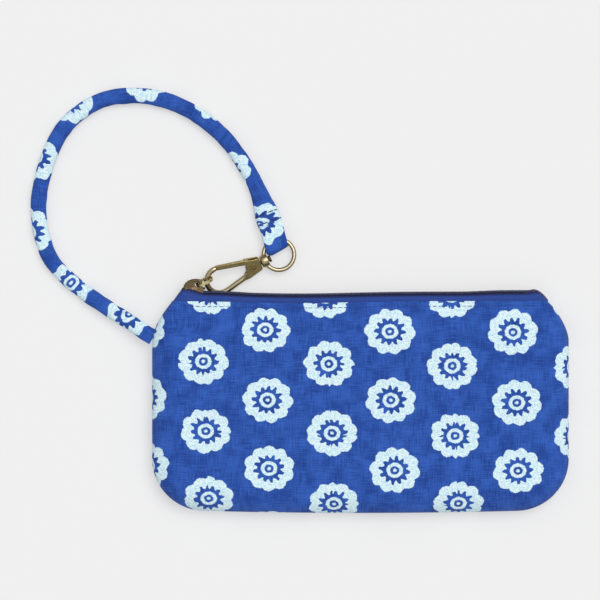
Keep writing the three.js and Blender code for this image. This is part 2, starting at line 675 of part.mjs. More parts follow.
// The strap's end, folded round the ring's wire
function ringLoop() {
  const gap = RING_WIRE / 2 + CLEARANCE;
  const outside = gap + LOOP_LEG;
  const lean = Math.cos(Math.asin(LOOP_WIDTH / 2 / RING_RADIUS));
  const bend = RING_RADIUS * lean - RING_WIRE / 2 * (1 / lean - 1);
  const end = RING_RADIUS + LOOP_LENGTH;
  const shape = new THREE.Shape();
  shape.moveTo(end, -outside);
  shape.lineTo(end, -gap);
  shape.lineTo(bend, -gap);
  shape.absarc(bend, 0, gap, 1.5 * Math.PI, Math.PI / 2, true);
  shape.lineTo(end, gap);
  shape.lineTo(end, outside);
  shape.lineTo(bend, outside);
  shape.absarc(bend, 0, outside, Math.PI / 2, 1.5 * Math.PI);
  const loop = alongZip(shape, -LOOP_WIDTH / 2, LOOP_WIDTH / 2).rotateZ(LOOP_SWING * RAD);
  return piece("strap_ring_loop", loop.translate(RING_X, 0, 0), printedCotton);
}

function clasp() {
  const group = new THREE.Group();
  group.position.set(CLASP_X, CLASP_Y, CLASP_Z);
  group.rotation.set(CLASP_ROLL * RAD, CLASP_PITCH * RAD, CLASP_TURN * RAD, "ZYX");
  group.add(claspBody(), claspGate(), gateRivet(), gateSpring(), swivelPin());
  const ring = new THREE.Group();
  ring.rotation.x = -CLASP_ROLL * RAD;
  ring.add(swivelRing(), ringLoop());
  group.add(ring);
  return group;
}

// Wrist strap

function seamTab() {
  const shape = roundedBar(-SEAM_TAB_DEPTH, SEAM_TAB_OUT, SEAM_TAB_WIDTH, CLEARANCE);
  const mesh = piece("strap_seam_tab", extruded(shape, SEAM_TAB_THICKNESS, 2), printedCotton);
  mesh.position.set(-POUCH_HALF_WIDTH, STRAP_EXIT_Y, SEAM_Z);
  mesh.rotation.z = STRAP_EXIT_ANGLE * RAD;
  return mesh;
}

function strapStart(distance) {
  const angle = STRAP_EXIT_ANGLE * RAD;
  return [
    -POUCH_HALF_WIDTH + distance * Math.cos(angle),
    STRAP_EXIT_Y + distance * Math.sin(angle),
    SEAM_Z,
  ];
}

function wristStrap() {
  const laid = STRAP_ROUTE.map(([x, y, z]) => [x - POUCH_HALF_WIDTH, y + MOUTH_Y, z]);
  const route = [strapStart(SEAM_TAB_OUT + CLEARANCE), ...laid];
  const tube = wire(route, STRAP_HEIGHT, STRAP_WIDTH, STRAP_SIDES, STRAP_STEPS);
  return piece("wrist_strap", tube, printedCotton);
}

const pouch = new THREE.Group();
pouch.add(halfPouch("back", -1, BACK_RISE), halfPouch("front", 1, FRONT_RISE));
pouch.add(zipTape("back_zip_tape", -1), zipTape("front_zip_tape", 1));
pouch.add(zipCoil("back_zip_coil", -1), zipCoil("front_zip_coil", 1));
pouch.add(topStop("back_top_stop", -1), topStop("front_top_stop", 1), bottomStop("zip_bottom_stop"));
pouch.add(slider(), pullTab(), clasp(), seamTab(), wristStrap());

export default pouch;
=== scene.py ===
# Zip wristlet pouch in block-printed cotton: looks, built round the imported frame. Metres, +Z up.
import math

import bmesh
import bpy
from mathutils import Euler, Matrix, Vector, noise


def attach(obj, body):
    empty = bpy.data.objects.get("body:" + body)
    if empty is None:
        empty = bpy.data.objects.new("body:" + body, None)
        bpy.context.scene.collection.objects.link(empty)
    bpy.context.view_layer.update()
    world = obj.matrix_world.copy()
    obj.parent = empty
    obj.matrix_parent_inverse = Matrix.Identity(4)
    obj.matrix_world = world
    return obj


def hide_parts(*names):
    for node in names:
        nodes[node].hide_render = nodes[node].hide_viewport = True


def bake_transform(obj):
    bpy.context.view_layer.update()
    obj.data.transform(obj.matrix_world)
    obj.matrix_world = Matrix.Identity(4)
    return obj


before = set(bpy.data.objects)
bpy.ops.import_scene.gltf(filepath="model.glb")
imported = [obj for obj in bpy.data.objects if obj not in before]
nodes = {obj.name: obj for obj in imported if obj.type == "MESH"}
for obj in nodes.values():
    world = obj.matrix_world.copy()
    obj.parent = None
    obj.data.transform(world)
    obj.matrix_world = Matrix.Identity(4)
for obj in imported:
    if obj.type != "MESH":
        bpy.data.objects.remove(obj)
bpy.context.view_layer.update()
scene = bpy.context.scene
MM = 0.001

# Camera, straight above the pouch
IMAGE_WIDTH = 295.0 * MM
CAMERA_HEIGHT = 1.3
CAMERA_X = -29.7 * MM
CAMERA_Y = 49.7 * MM
SENSOR = 36.0

# Light: the sky's strength from the horizon up, and the key lamp
WORLD_RAMP = (0.15, 0.95, 0.16, 0.8)
KEY_STRENGTH = 1.5
KEY_SPREAD = 42.0
KEY_TILT = (-18.0, 17.0)
FLOOR_COLOUR = (0.863, 0.863, 0.863)
FLOOR_LIFT = 0.55
FLOOR_SIZE = 4.0
FLOOR_DROP = 0.2 * MM

# Pouch, in millimetres
HALF_WIDTH = 102.4
BOTTOM_Y = -55.0
MOUTH_Y = 49.2
CORNER_RADIUS = 26.0
SHOULDER_Y = 30.0
SHOULDER_INSET = 10.0
SHOULDER_POWER = 1.6
SEAM_Z = 7.2
FRONT_RISE = 7.9
BACK_RISE = 7.2
MOUTH_RISE = 5.1
EDGE_ROUND = 14.0
MOUTH_END_ROUND = 3.5
END_ROUND_Y = (24.0, 46.2)
LIP_RADIUS = 0.5
BOTTOM_SAG = 1.0
LIP_STEPS = 6
LIP_CLEAR = 0.4
LEAST_HEIGHT = 0.02
LINING_DROP = 2.9
LINING_LOW_Y = -50.0
LINING_TOP_Y = 48.4
SIDES = (("front", 1), ("back", -1))
TAPE_COLUMNS = 160
HALF_COLUMNS = 76
COLUMN_POWER = 0.9
PANEL_ROWS = 96
ROW_POWER = 0.85
INNER_ROW_STEP = 4
LINING_ROW_STEP = 3

# Small waves in the cloth: waves per millimetre across and up, a seed and a height
SOFT_WAVE = (0.035, 0.035, 5.0, 0.45)
FINE_WAVE = (0.09, 0.07, 7.0, 0.18)
PUCKER = (0.17, 0.17, 9.0, 0.8)
GATHER = (0.13, 0.03, 3.0, 0.55)
TAPE_WAVE = (0.12, 0.2, 2.0, 0.15)
PUCKER_REACH = 8.0
GATHER_REACH = 9.0
FLAT_RIM = 5.0
TAPE_WAVE_Y = 50.5

# Zip
TAPE_TOP_Y = 53.0
TAPE_LOW_Y = 46.0
TAPE_BEND = 0.7
TAPE_BEND_STEPS = 5
TAPE_INNER = 0.55
TAPE_OUTER = 3.7
TAPE_THICKNESS = 0.5
TAPE_LEFT_RISE = 3.0
TAPE_LEFT_FROM = 0.085
TAPE_LEFT_SLOPE = 0.71
TAPE_RIGHT_RISE = 1.0
TAPE_RIGHT_FROM = 0.945
TAPE_RIGHT_SLOPE = 1.1
# Painted shade under the coil: full within 0.55 mm of the tape's top, gone by 1.15 mm
TAPE_SHADE_SPAN = (1.15, 0.55)
TAPE_END_GAP = 0.3
TAPE_END_ROUND = 4.5
TAPE_END_START = 0.1
TAPE_END_DEPTH = 0.12
COIL_X0 = -84.2
COIL_X1 = 84.4
COIL_PITCH = 1.2
COIL_BASE_Y = 52.97
COIL_HEIGHT = 1.25
COIL_SHIFT = 0.55
COIL_REACH = 0.95
COIL_WIRE = 0.31
COIL_STEPS = 10
COIL_SIDES = 7
CORE_RADIUS = 0.42
CORE_SHIFT = 0.35
CORE_STEPS = 60
CORE_SIDES = 8
ZIP_TAIL = ((83.4, 54.1), (85.2, 54.4), (87.1, 53.9), (89.4, 52.2), (91.9, 49.2), (92.9, 47.6))
ZIP_TAIL_RADIUS = 0.6
ZIP_TAIL_SPLINE = 8
ZIP_TAIL_STEPS = 40
ZIP_TAIL_SIDES = 10
ZIP_SAG = (0.95, -30.0, 36.0)
ZIP_LIFT = (0.15, 40.0, 85.0)
ZIP_DIP = 0.55
ZIP_DIP_X = (50.0, 70.0)

# Print: half-drop lattice of flowers, in millimetres
PRINT_ACROSS = (61.0, -0.9)
PRINT_UP = (-1.28, 34.2)
PRINT_ORIGIN = (15.1, 0.3)
PRINT_HALF_DROP = (-29.6, -16.0)
PRINT_JITTER = 1.1
PRINT_SLIP = 4.0
PRINT_SLIP_X = (-97.0, -88.0, -63.0, -55.0)
PRINT_SLIP_Y = (31.0, 37.0)
PRINT_WOBBLE = 1.1
FLOWER_RADIUS = 11.35
FLOWER_SQUEEZE = 0.905
FLOWER_TURN = 0.5
FLOWER_LOBES = 10
FLOWER_TEETH = 12

# One flower, in shares of its radius
PETAL_EDGE = 0.82
PETAL_LOBE = 0.12
PETAL_UNEVEN = 0.1
TEETH_ROOT = 0.46
TEETH_LEAST = 0.05
TEETH_UNEVEN = 0.2
TEETH_SHARP = (0.12, 0.85)
EYE_RING = (0.18, 0.32)
EYE_DOT = (0.05, 0.09)
PETAL_SOFT = 0.018
EYE_SOFT = 0.02

# Materials
BLUES = ((0.013, 0.054, 0.285), (0.034, 0.118, 0.50))
WHITES = ((0.55, 0.83, 0.95), (0.84, 0.99, 0.99))
STREAKS = (0.12, 2.6, 1.0)
SLUBS = (2.6, 0.12, 1.0)
COTTON_THREAD = 0.28
COTTON_ROUGHNESS = 0.85
PATCHES = (0.12, 3.0)
SPECKS = (1.9, 2.0, 0.6)
MOTTLE = (0.75, 3.0, 0.6)
TONE_SPAN = (1.2, 1.8)
MOTTLE_SPAN = (0.3, 0.65)
SPECK_INK = (0.28, 0.52, 0.5, 1.0)
STREAK_INK = (0.28, 0.5, 0.86, 1.0)
COTTON_BUMP = (0.35, 0.08 * MM)
WOVEN_BUMP = (0.4, 0.06 * MM)
FIBRE_BUMP = (0.2, 0.05 * MM)
STREAK_HEIGHT = 3.0
FLECKS = 1600.0
CLOUDS = 420.0
NOISE_SPAN = (0.3, 0.7)
WORN_EDGE = (0.46, 0.56)
CLOTH_GLOSS = 0.2

# Strap, in millimetres: its route repeats the frame's own
STRAP_ROUTE = [
    (-101.9, 31.3, 7.2),
    (-104.383, 32.767, 7.2),
    (-110.0, 36.6, 6.4),
    (-120.8, 43.4, 4.4),
    (-140.4, 57.0, 2.8),
    (-153.5, 71.4, 2.8),
    (-158.7, 93.9, 2.8),
    (-155.1, 116.0, 2.8),
    (-145.3, 135.7, 2.8),
    (-128.1, 148.0, 2.8),
    (-108.4, 150.4, 2.8),
    (-88.7, 145.5, 2.8),
    (-69.1, 131.9, 2.8),
    (-58.1, 118.0, 2.8),
    (-50.3, 103.7, 2.9),
    (-46.6, 93.4, 3.1),
    (-44.17, 86.74, 3.4),
]
STRAP_WIDTH = 7.8
STRAP_HEIGHT = 5.2
STRAP_SIDES = 24
STRAP_STEPS = 180
STRAP_SQUARE = (0.85, 0.9)
STRAP_PUFF = (0.05, 0.11)
STRAP_WAVE = (0.06, 0.22, 1.6)
STRAP_SPREAD = (0.48, 24.0, 2.0)
STRAP_PRESS = (0.4, 9.0)
STRAP_SPLINE = 12
STRAP_FLOWERS = (
    (15.6, 2.6), (49.1, 0.0), (79.6, -5.7), (115.3, -6.3),
    (143.5, -7.6), (177.3, -9.8), (208.3, -12.3), (237.1, 10.2), (273.0, 10.2),
)
STRAP_TWIST = (0.3, 0.7)
FOLD_LENGTH = 13.5
FOLD_SIDES = 7
FOLD_THICKNESS = 0.45
FOLD_EDGE = 1.2
FOLD_SLOPE = 2.0
FOLD_RIM = 0.1
FOLD_SPREAD = 1.4
FOLD_FLOWER = (3.6, 3.0)
FOLD_SHRINK = 1.2
CROSS_STITCHES = (5.6, 0.8)
CROSS_THREAD = 1.7
CROSS_MARGIN = 4
CROSS_LIFT = 1.7
CROSS_LENGTH = 0.86
STRAP_CUTS = (0, 97, 142, 173, 180)

# Clasp, in millimetres and degrees: the frame's own placement
CLASP_AT = (-69.1, 59.5, 4.5)
CLASP_TURNS = (25.0, 2.0, 23.4)


def clasp_matrix():
    roll, pitch, turn = (math.radians(angle) for angle in CLASP_TURNS)
    return Matrix.Translation(Vector(CLASP_AT) * MM) @ Euler((roll, pitch, turn), "XYZ").to_matrix().to_4x4()


def level_matrix():
    """The clasp's placement with its roll taken out, as its ring lies."""
    return clasp_matrix() @ Matrix.Rotation(-math.radians(CLASP_TURNS[0]), 4, "X")


# Clasp's pieces, in its own axes
HOOK_RADIUS = 6.7
HOOK_WIRE = 2.7
HOOK_STEPS = 12
HOOK_SPLINE = 6
HOOK_POINTS = 60
HOOK_FLAT = 1.05
HOOK_TIP = (0.86, 2.0)
WIRE_SIDES = 20
ARM_ANGLE = 13.6
NOSE_ANGLE = 84.0
BLOCK_START = 13.6
BLOCK_FRONT = 14.2
BLOCK_ROOT = 10.6
BLOCK_END = 21.7
BLOCK_CORNER = 0.7
BLOCK_TIP = 0.5
BLOCK_THICKNESS = 4.0
BLOCK_CHEEK = 0.8
BLOCK_WALL = 1.6
BLOCK_INNER = 1.0
BLOCK_INNER_STEPS = 8
CHEEK_ROUND = 0.3
WALL_ROUND = 0.2
WALL_INSET = 0.1
RIVET_X = 17.8
RIVET_SHANK = (1.9, 0.8)
RIVET_HEAD = (
    (1.9, 1.5), (2.35, 1.5), (2.5, 1.38), (2.5, 1.15), (1.98, 1.0),
    (1.98, 0.72), (2.5, 0.58), (2.55, 0.3), (2.55, 0.02),
)
GATE_EYE = 2.0
GATE_WIDTH = 2.3
GATE_THICKNESS = 1.9
GATE_NOSE_GAP = 0.02
GATE_NECK = 0.75
GATE_STEP = 1.0
GATE_HOLE = 1.1
GATE_ROUND = 0.35
GATE_EYE_ARC = (180.0, 405.0)
GATE_EYE_STEPS = 12
RING_X = 31.6
RING_RADIUS = 7.55
RING_WIRE = 2.1
RING_STEPS = 96
HUB_START = 22.0
HUB_RADIUS = 3.2
HUB_PROFILE = (
    (0.0, 1.35), (0.05, 2.4), (0.3, 2.85), (0.75, 3.1), (1.3, 3.2),
    (3.05, 3.2), (3.45, 3.1), (3.7, 2.75), (3.78, 2.3), (3.8, 1.35),
)
# Painted highlight: brighter brass on the tops of the ring and hub and on the hook's side that faces the
# light
HUB_HIGHLIGHT = 0.6
PAINTED_HIGHLIGHT = "painted_highlight"
HIGHLIGHT_FROM = 0.6
HIGHLIGHT_FACING = 0.8
ARM_LIGHT = (-0.45, 0.45, 0.77)
ARM_HIGHLIGHT = 0.9
HIGHLIGHT_COLOUR = (0.50, 0.44, 0.29)

# Slider's crown
CROWN = (
    (-87.0, 55.6), (-77.6, 55.6), (-77.5, 57.6), (-77.9, 59.0), (-78.8, 59.9), (-80.4, 60.2),
    (-82.6, 60.0), (-84.6, 59.3), (-86.0, 58.2), (-86.8, 56.9),
)
CROWN_HOLE = (-80.4, 57.35, 1.1)
CROWN_WIDTH = 2.8
CROWN_ROUND = 0.5

# Strap's end round the ring, in the ring's own axes
LOOP_STEPS = 10
LOOP_SIDES = 16
LOOP_SQUARE = 0.6
LOOP_WAVE = (0.04, 0.3)
LOOP_SWING = -8.0
LOOP_END = 17.0
LOOP_BEND = 4.69
LOOP_GAP = 1.95
LOOP_WIDTH = 11.4
LOOP_THICKNESS = 1.4
LOOP_PRINT = (3.6, 1.25)
LOOP_SKEW = ((-5.7, -0.6), (-3.9, -1.8), (5.7, 0.6))
LOOP_SKEW_REACH = 5.0

# Stitches
STITCH_SHAPE = (
    (-0.5, -0.12, 0.07), (-0.38, 0.05, 0.13), (0.0, 0.1, 0.15), (0.38, 0.05, 0.13), (0.5, -0.12, 0.07),
)
STITCH_SIDES = 6
STITCH_FLAT = 0.8
TOPSTITCH_Y = 46.7
TOPSTITCH_HALF = 87.0
TOPSTITCH_PITCH = 2.9
TOPSTITCH_LENGTH = 0.82
TOPSTITCH_UP = (0.0, 0.1, 1.0)

# Metal nodes kept from the frame
BRIGHT_NODES = ["pull_tab"]
DARK_NODES = ["zip_slider", "swivel_pin", "back_top_stop", "zip_bottom_stop"]
STEEL_NODES = ["gate_spring"]
NODE_BEVEL = 0.18

# Rounding of the metal: segments of an edge, points round, and angles that stay sharp
EDGE_SEGMENTS = 3
HOLE_STEPS = 24
PLATE_SHARP = 35.0
TURNED_SHARP = 38.0
TURNED_SIDES = 32
NODE_SHARP = 40.0


# Camera and light

def make_camera():
    data = bpy.data.cameras.new("camera")
    data.sensor_width = SENSOR
    data.lens = SENSOR * (CAMERA_HEIGHT - SEAM_Z * MM) / IMAGE_WIDTH
    scene.camera = add_object("camera", data)
    scene.camera.location = (CAMERA_X, CAMERA_Y, CAMERA_HEIGHT)


def make_light():
    sky = Shader(bpy.data.worlds.new("studio"), "Background")
    height = sky.parts(sky.node("ShaderNodeTexCoord").outputs["Generated"])["Z"]
    sky.give({"Color": rgb(1.0, 1.0, 1.0), "Strength": sky.ramp(height, *WORLD_RAMP)})
    scene.world = sky.owner
    key = bpy.data.lights.new("key", "SUN")
    key.energy = KEY_STRENGTH
    key.angle = math.radians(KEY_SPREAD)
    lamp = add_object("key", key)
    lamp.rotation_euler = Euler((math.radians(KEY_TILT[0]), math.radians(KEY_TILT[1]), 0))
    scene.view_settings.view_transform = "Standard"


def make_floor():
    bpy.ops.mesh.primitive_plane_add(size=FLOOR_SIZE, location=(0, 0, -FLOOR_DROP))
    floor = bpy.context.object
    floor.name = "floor"
    floor.data.materials.append(floor_paper())


# Node helpers

class Shader:
    """Builds the nodes of a material or of the world with short calls."""

    def __init__(self, owner, surface="Principled BSDF"):
        self.owner = owner
        owner.use_nodes = True
        self.tree = owner.node_tree
        self.surface = self.tree.nodes[surface]

    def node(self, kind, **values):
        made = self.tree.nodes.new(kind)
        for key, value in values.items():
            setattr(made, key, value)
        return made

    def plug(self, socket, value):
        if isinstance(value, bpy.types.NodeSocket):
            self.tree.links.new(value, socket)
        elif value is not None:
            socket.default_value = value

    def math(self, operation, a, b=None, c=None, clamp=False):
        made = self.node("ShaderNodeMath", operation=operation, use_clamp=clamp)
        for socket, value in zip(made.inputs, (a, b, c)):
            self.plug(socket, value)
        return made.outputs[0]

    def vector(self, operation, a, b=None, scale=None):
        made = self.node("ShaderNodeVectorMath", operation=operation)
        self.plug(made.inputs[0], a)
        self.plug(made.inputs[1], b)
        if scale is not None:
            self.plug(made.inputs["Scale"], scale)
        return made.outputs["Value" if operation in ("LENGTH", "DOT_PRODUCT") else "Vector"]

    def parts(self, vector):
        made = self.node("ShaderNodeSeparateXYZ")
        self.plug(made.inputs[0], vector)
        return made.outputs

    def noise(self, coordinates, scale, detail=2.0, roughness=0.5, output="Fac"):
        made = self.node("ShaderNodeTexNoise")
        self.plug(made.inputs["Vector"], coordinates)
        made.inputs["Scale"].default_value = scale
        made.inputs["Detail"].default_value = detail
        made.inputs["Roughness"].default_value = roughness
        return made.outputs[output]

    def ramp(self, value, low, high, out_low=0.0, out_high=1.0):
        made = self.node("ShaderNodeMapRange", clamp=True, interpolation_type="SMOOTHSTEP")
        for socket, number in zip(made.inputs, (value, low, high, out_low, out_high)):
            self.plug(socket, number)
        return made.outputs[0]

    def mix(self, factor, a, b):
        made = self.node("ShaderNodeMix", data_type="RGBA")
        self.plug(made.inputs[0], factor)
        self.plug(made.inputs[6], a)
        self.plug(made.inputs[7], b)
        return made.outputs[2]

    def bump(self, height, strength, distance):
        made = self.node("ShaderNodeBump")
        made.inputs["Strength"].default_value = strength
        made.inputs["Distance"].default_value = distance
        self.plug(made.inputs["Height"], height)
        self.plug(self.surface.inputs["Normal"], made.outputs[0])

    def give(self, values):
        for name, value in values.items():
            self.plug(self.surface.inputs[name], value)


def rgb(red, green, blue):
    return (red, green, blue, 1.0)


# Materials

def floor_paper():
    """Pale paper whose shadows the camera sees softened."""
    shader = Shader(bpy.data.materials.new("floor_paper"))
    shader.give({"Base Color": rgb(*FLOOR_COLOUR), "Roughness": 0.9, "Specular IOR Level": 0.0})
    glow = shader.node("ShaderNodeEmission")
    glow.inputs["Color"].default_value = rgb(*FLOOR_COLOUR)
    path = shader.node("ShaderNodeLightPath").outputs
    seen = shader.math("MAXIMUM", path["Is Camera Ray"], path["Is Glossy Ray"])
    seen = shader.math("MAXIMUM", seen, path["Is Transmission Ray"])
    both = shader.node("ShaderNodeMixShader")
    shader.plug(both.inputs[0], shader.math("MULTIPLY", seen, FLOOR_LIFT))
    shader.plug(both.inputs[1], shader.surface.outputs[0])
    shader.plug(both.inputs[2], glow.outputs[0])
    shader.plug(shader.tree.nodes["Material Output"].inputs["Surface"], both.outputs[0])
    return shader.owner


def fibre(name, low, high, roughness):
    """Thread or moulded nylon with a fine, uneven colour."""
    shader = Shader(bpy.data.materials.new(name))
    place = shader.node("ShaderNodeTexCoord").outputs["Object"]
    fleck = shader.noise(place, FLECKS, 3.0)
    gloss = shader.ramp(fleck, *NOISE_SPAN, roughness + 0.1, roughness - 0.05)
    shader.give({"Base Color": shader.mix(fleck, rgb(*low), rgb(*high)), "Roughness": gloss})
    shader.bump(fleck, *FIBRE_BUMP)
    return shader.owner


def cloth_place(shader, wobble):
    """Cloth coordinates in millimetres, shifted a little as a hand print is."""
    place = shader.node("ShaderNodeUVMap", uv_map="cloth").outputs[0]
    if not wobble:
        return place
    drift = shader.noise(place, 0.7, 3.0, output="Color")
    shift = shader.vector("SUBTRACT", drift, (0.5, 0.5, 0.5))
    shift = shader.vector("MULTIPLY", shift, (wobble, wobble, 0.0))
    return shader.vector("ADD", place, shift)


def lattice(shader, place, origin):
    """Offset from the nearest flower of one grid, and a number that is that flower's own."""
    (ax, ay), (bx, by) = PRINT_ACROSS, PRINT_UP
    area = ax * by - ay * bx
    offset = shader.vector("SUBTRACT", place, (*origin, 0.0))
    local, numbers = offset, []
    for step, reciprocal in (((ax, ay, 0.0), (by / area, -bx / area, 0.0)),
                             ((bx, by, 0.0), (-ay / area, ax / area, 0.0))):
        number = shader.math("ROUND", shader.vector("DOT_PRODUCT", offset, reciprocal))
        local = shader.vector("SUBTRACT", local, shader.vector("SCALE", step, scale=number))
        numbers.append(number)
    own = shader.node("ShaderNodeCombineXYZ")
    for socket, value in zip(own.inputs, (*numbers, origin[0])):
        shader.plug(socket, value)
    chance = shader.node("ShaderNodeTexWhiteNoise", noise_dimensions="3D")
    shader.plug(chance.inputs["Vector"], own.outputs[0])
    jitter = shader.vector("SUBTRACT", chance.outputs["Color"], (0.5, 0.5, 0.5))
    jitter = shader.vector("MULTIPLY", jitter, (PRINT_JITTER, PRINT_JITTER, 0.0))
    return shader.vector("ADD", local, jitter), chance.outputs["Value"]


def band(shader, value, low, high, soft):
    """One between low and high, with soft edges."""
    rise = shader.ramp(value, shader.math("SUBTRACT", low, soft), shader.math("ADD", low, soft))
    fall = shader.ramp(value, shader.math("SUBTRACT", high, soft), shader.math("ADD", high, soft))
    return shader.math("SUBTRACT", rise, fall, clamp=True)


def rosette(shader, turn, count):
    """Falls to 0 and rises to 1 count times round a flower."""
    return shader.math("ABSOLUTE", shader.math("COSINE", shader.math("MULTIPLY", turn, count / 2)))


def flower(shader, place):
    """White share of the block print."""
    first, first_chance = lattice(shader, place, PRINT_ORIGIN)
    second, _ = lattice(shader, place, print_place(*PRINT_HALF_DROP))
    reaches = []
    for local in (first, second):
        squeezed = shader.vector("MULTIPLY", local, (FLOWER_SQUEEZE, 1.0, 0.0))
        reaches.append(shader.vector("LENGTH", squeezed))
    choose = shader.node("ShaderNodeMix", data_type="VECTOR")
    shader.plug(choose.inputs[0], shader.math("LESS_THAN", reaches[1], reaches[0]))
    shader.plug(choose.inputs[4], first)
    shader.plug(choose.inputs[5], second)
    reach = shader.math("DIVIDE", shader.math("MINIMUM", *reaches), FLOWER_RADIUS)
    across, up, _ = shader.parts(choose.outputs[1])
    turn = shader.math("ARCTAN2", up, across)
    turn = shader.math("ADD", turn, shader.math("MULTIPLY", first_chance, FLOWER_TURN))
    uneven = shader.math("MULTIPLY_ADD", shader.noise(place, 0.22, 1.0), PETAL_UNEVEN, PETAL_EDGE)
    edge = shader.math("MULTIPLY_ADD", rosette(shader, turn, FLOWER_LOBES), PETAL_LOBE, uneven)
    teeth = shader.math("ARCSINE", rosette(shader, turn, FLOWER_TEETH))
    teeth = shader.ramp(shader.math("MULTIPLY", teeth, 2 / math.pi), *TEETH_SHARP)
    grown = shader.math("MULTIPLY_ADD", shader.noise(place, 0.33, 1.0), TEETH_UNEVEN, TEETH_LEAST)
    ring = shader.math("MULTIPLY_ADD", teeth, grown, TEETH_ROOT)
    white = band(shader, reach, ring, edge, PETAL_SOFT)
    white = shader.math("MAXIMUM", white, band(shader, reach, *EYE_RING, EYE_SOFT))
    return shader.math("MAXIMUM", white, shader.ramp(reach, *EYE_DOT, 1.0, 0.0))


def weave(shader, place, thread):
    """Height of a plain weave with the given thread width."""
    across, up, _ = shader.parts(place)
    waves = [shader.math("SINE", shader.math("MULTIPLY", part, math.pi / thread)) for part in (across, up)]
    return shader.math("MULTIPLY", *waves)


def printed_cotton():
    shader = Shader(bpy.data.materials.new("printed_cotton"))
    plain_place = cloth_place(shader, 0.0)
    white = flower(shader, cloth_place(shader, PRINT_WOBBLE))
    streaks = shader.noise(shader.vector("MULTIPLY", plain_place, STREAKS), 1.0, 3.0)
    slubs = shader.noise(shader.vector("MULTIPLY", plain_place, SLUBS), 1.0, 3.0)
    patches = shader.noise(plain_place, *PATCHES)
    specks = shader.noise(plain_place, *SPECKS)
    tone = shader.math("ADD", shader.math("ADD", streaks, slubs), patches)
    tone = shader.math("MULTIPLY_ADD", specks, 0.5, shader.math("SUBTRACT", tone, 0.25))
    blue = shader.mix(shader.ramp(tone, *TONE_SPAN), rgb(*BLUES[0]), rgb(*BLUES[1]))
    ink = shader.math("MULTIPLY", white, shader.ramp(specks, *SPECK_INK))
    ink = shader.math("MULTIPLY", ink, shader.ramp(streaks, *STREAK_INK))
    mottle = shader.noise(plain_place, *MOTTLE)
    pale = shader.mix(shader.ramp(mottle, *MOTTLE_SPAN), rgb(*WHITES[0]), rgb(*WHITES[1]))
    shader.give({"Base Color": shader.mix(ink, blue, pale), "Roughness": COTTON_ROUGHNESS})
    shader.give({"Specular IOR Level": CLOTH_GLOSS, "Sheen Weight": 0.08, "Sheen Roughness": 0.5})
    height = shader.math("MULTIPLY_ADD", streaks, STREAK_HEIGHT, weave(shader, plain_place, COTTON_THREAD))
    shader.bump(height, *COTTON_BUMP)
    return shader.owner


def woven(name, low, high, thread, roughness, edge=None):
    """Plain woven cloth of one colour, with a painted shade colour on points marked as its edge, if one is
    given.
    """
    shader = Shader(bpy.data.materials.new(name))
    place = cloth_place(shader, 0.0)
    fleck = shader.noise(place, 1.3, 3.0)
    colour = shader.mix(fleck, rgb(*low), rgb(*high))
    # painted shade under the coil, on the points marked as edge
    if edge:
        sewn = shader.node("ShaderNodeAttribute", attribute_name="edge").outputs["Fac"]
        colour = shader.mix(sewn, colour, rgb(*edge))
    shader.give({"Base Color": colour, "Roughness": roughness, "Specular IOR Level": CLOTH_GLOSS})
    shader.bump(weave(shader, place, thread), *WOVEN_BUMP)
    return shader.owner


def metal(name, dark, bright, roughness, wear):
    """Metal, darker in its recesses and brighter on its worn edges, with a painted highlight on the points
    marked for one.
    """
    shader = Shader(bpy.data.materials.new(name))
    place = shader.node("ShaderNodeTexCoord").outputs["Object"]
    cloud = shader.noise(place, CLOUDS, 3.0)
    point = shader.node("ShaderNodeNewGeometry").outputs["Pointiness"]
    edge = shader.ramp(point, *WORN_EDGE)
    share = shader.math("MULTIPLY_ADD", edge, wear, shader.math("MULTIPLY", cloud, 1.0 - wear))
    # painted highlight: marked points take the bright highlight colour
    painted_highlight = shader.node("ShaderNodeAttribute", attribute_name=PAINTED_HIGHLIGHT).outputs["Fac"]
    base = shader.mix(share, rgb(*dark), rgb(*bright))
    colour = shader.mix(painted_highlight, base, rgb(*HIGHLIGHT_COLOUR))
    gloss = shader.ramp(cloud, *NOISE_SPAN, roughness + 0.1, roughness - 0.06)
    shader.give({"Base Color": colour, "Metallic": 1.0, "Roughness": gloss})
    return shader.owner


# Mesh helpers: points are in millimetres

def shade(mesh, material, sharp=None):
    """One material and smooth faces; edges above an angle in degrees stay sharp if it is given."""
    mesh.materials.clear()
    mesh.materials.append(material)
    mesh.polygons.foreach_set("use_smooth", [True] * len(mesh.polygons))
    if sharp:
        mesh.set_sharp_from_angle(angle=math.radians(sharp))


def add_object(name, data):
    made = bpy.data.objects.new(name, data)
    scene.collection.objects.link(made)
    return made


def finish_mesh(name, points, faces, uvs, material, normals=None):
    mesh = bpy.data.meshes.new(name)
    mesh.from_pydata([Vector(point) * MM for point in points], [], faces)
    if uvs:
        layer = mesh.uv_layers.new(name="cloth")
        for loop in mesh.loops:
            layer.data[loop.index].uv = uvs[loop.vertex_index]
    shade(mesh, material)
    if normals:
        mesh.normals_split_custom_set_from_vertices(normals)
    return add_object(name, mesh)


def grid_faces(rows, columns, closed=False, turned=False):
    faces = []
    for row in range(rows - 1):
        for column in range(columns if closed else columns - 1):
            after = (column + 1) % columns
            corners = (row * columns + column, row * columns + after,
                       (row + 1) * columns + after, (row + 1) * columns + column)
            faces.append(corners[::-1] if turned else corners)
    return faces


def join(kept, added):
    """Moves one piece's mesh into another."""
    work = bmesh.new()
    work.from_mesh(kept.data)
    work.from_mesh(added.data)
    work.to_mesh(kept.data)
    work.free()
    bpy.data.objects.remove(added)


def mark(piece, name, values):
    """Gives each point of a mesh a number that its material reads."""
    made = piece.data.attributes.new(name, "FLOAT", "POINT")
    made.data.foreach_set("value", values)


def vertex_normals(points, faces):
    """Normals of a whole mesh, for pieces of it that are to be shaded as one."""
    whole = bpy.data.meshes.new("whole")
    whole.from_pydata(points, [], faces)
    normals = [tuple(item.vector) for item in whole.vertex_normals]
    bpy.data.meshes.remove(whole)
    return normals


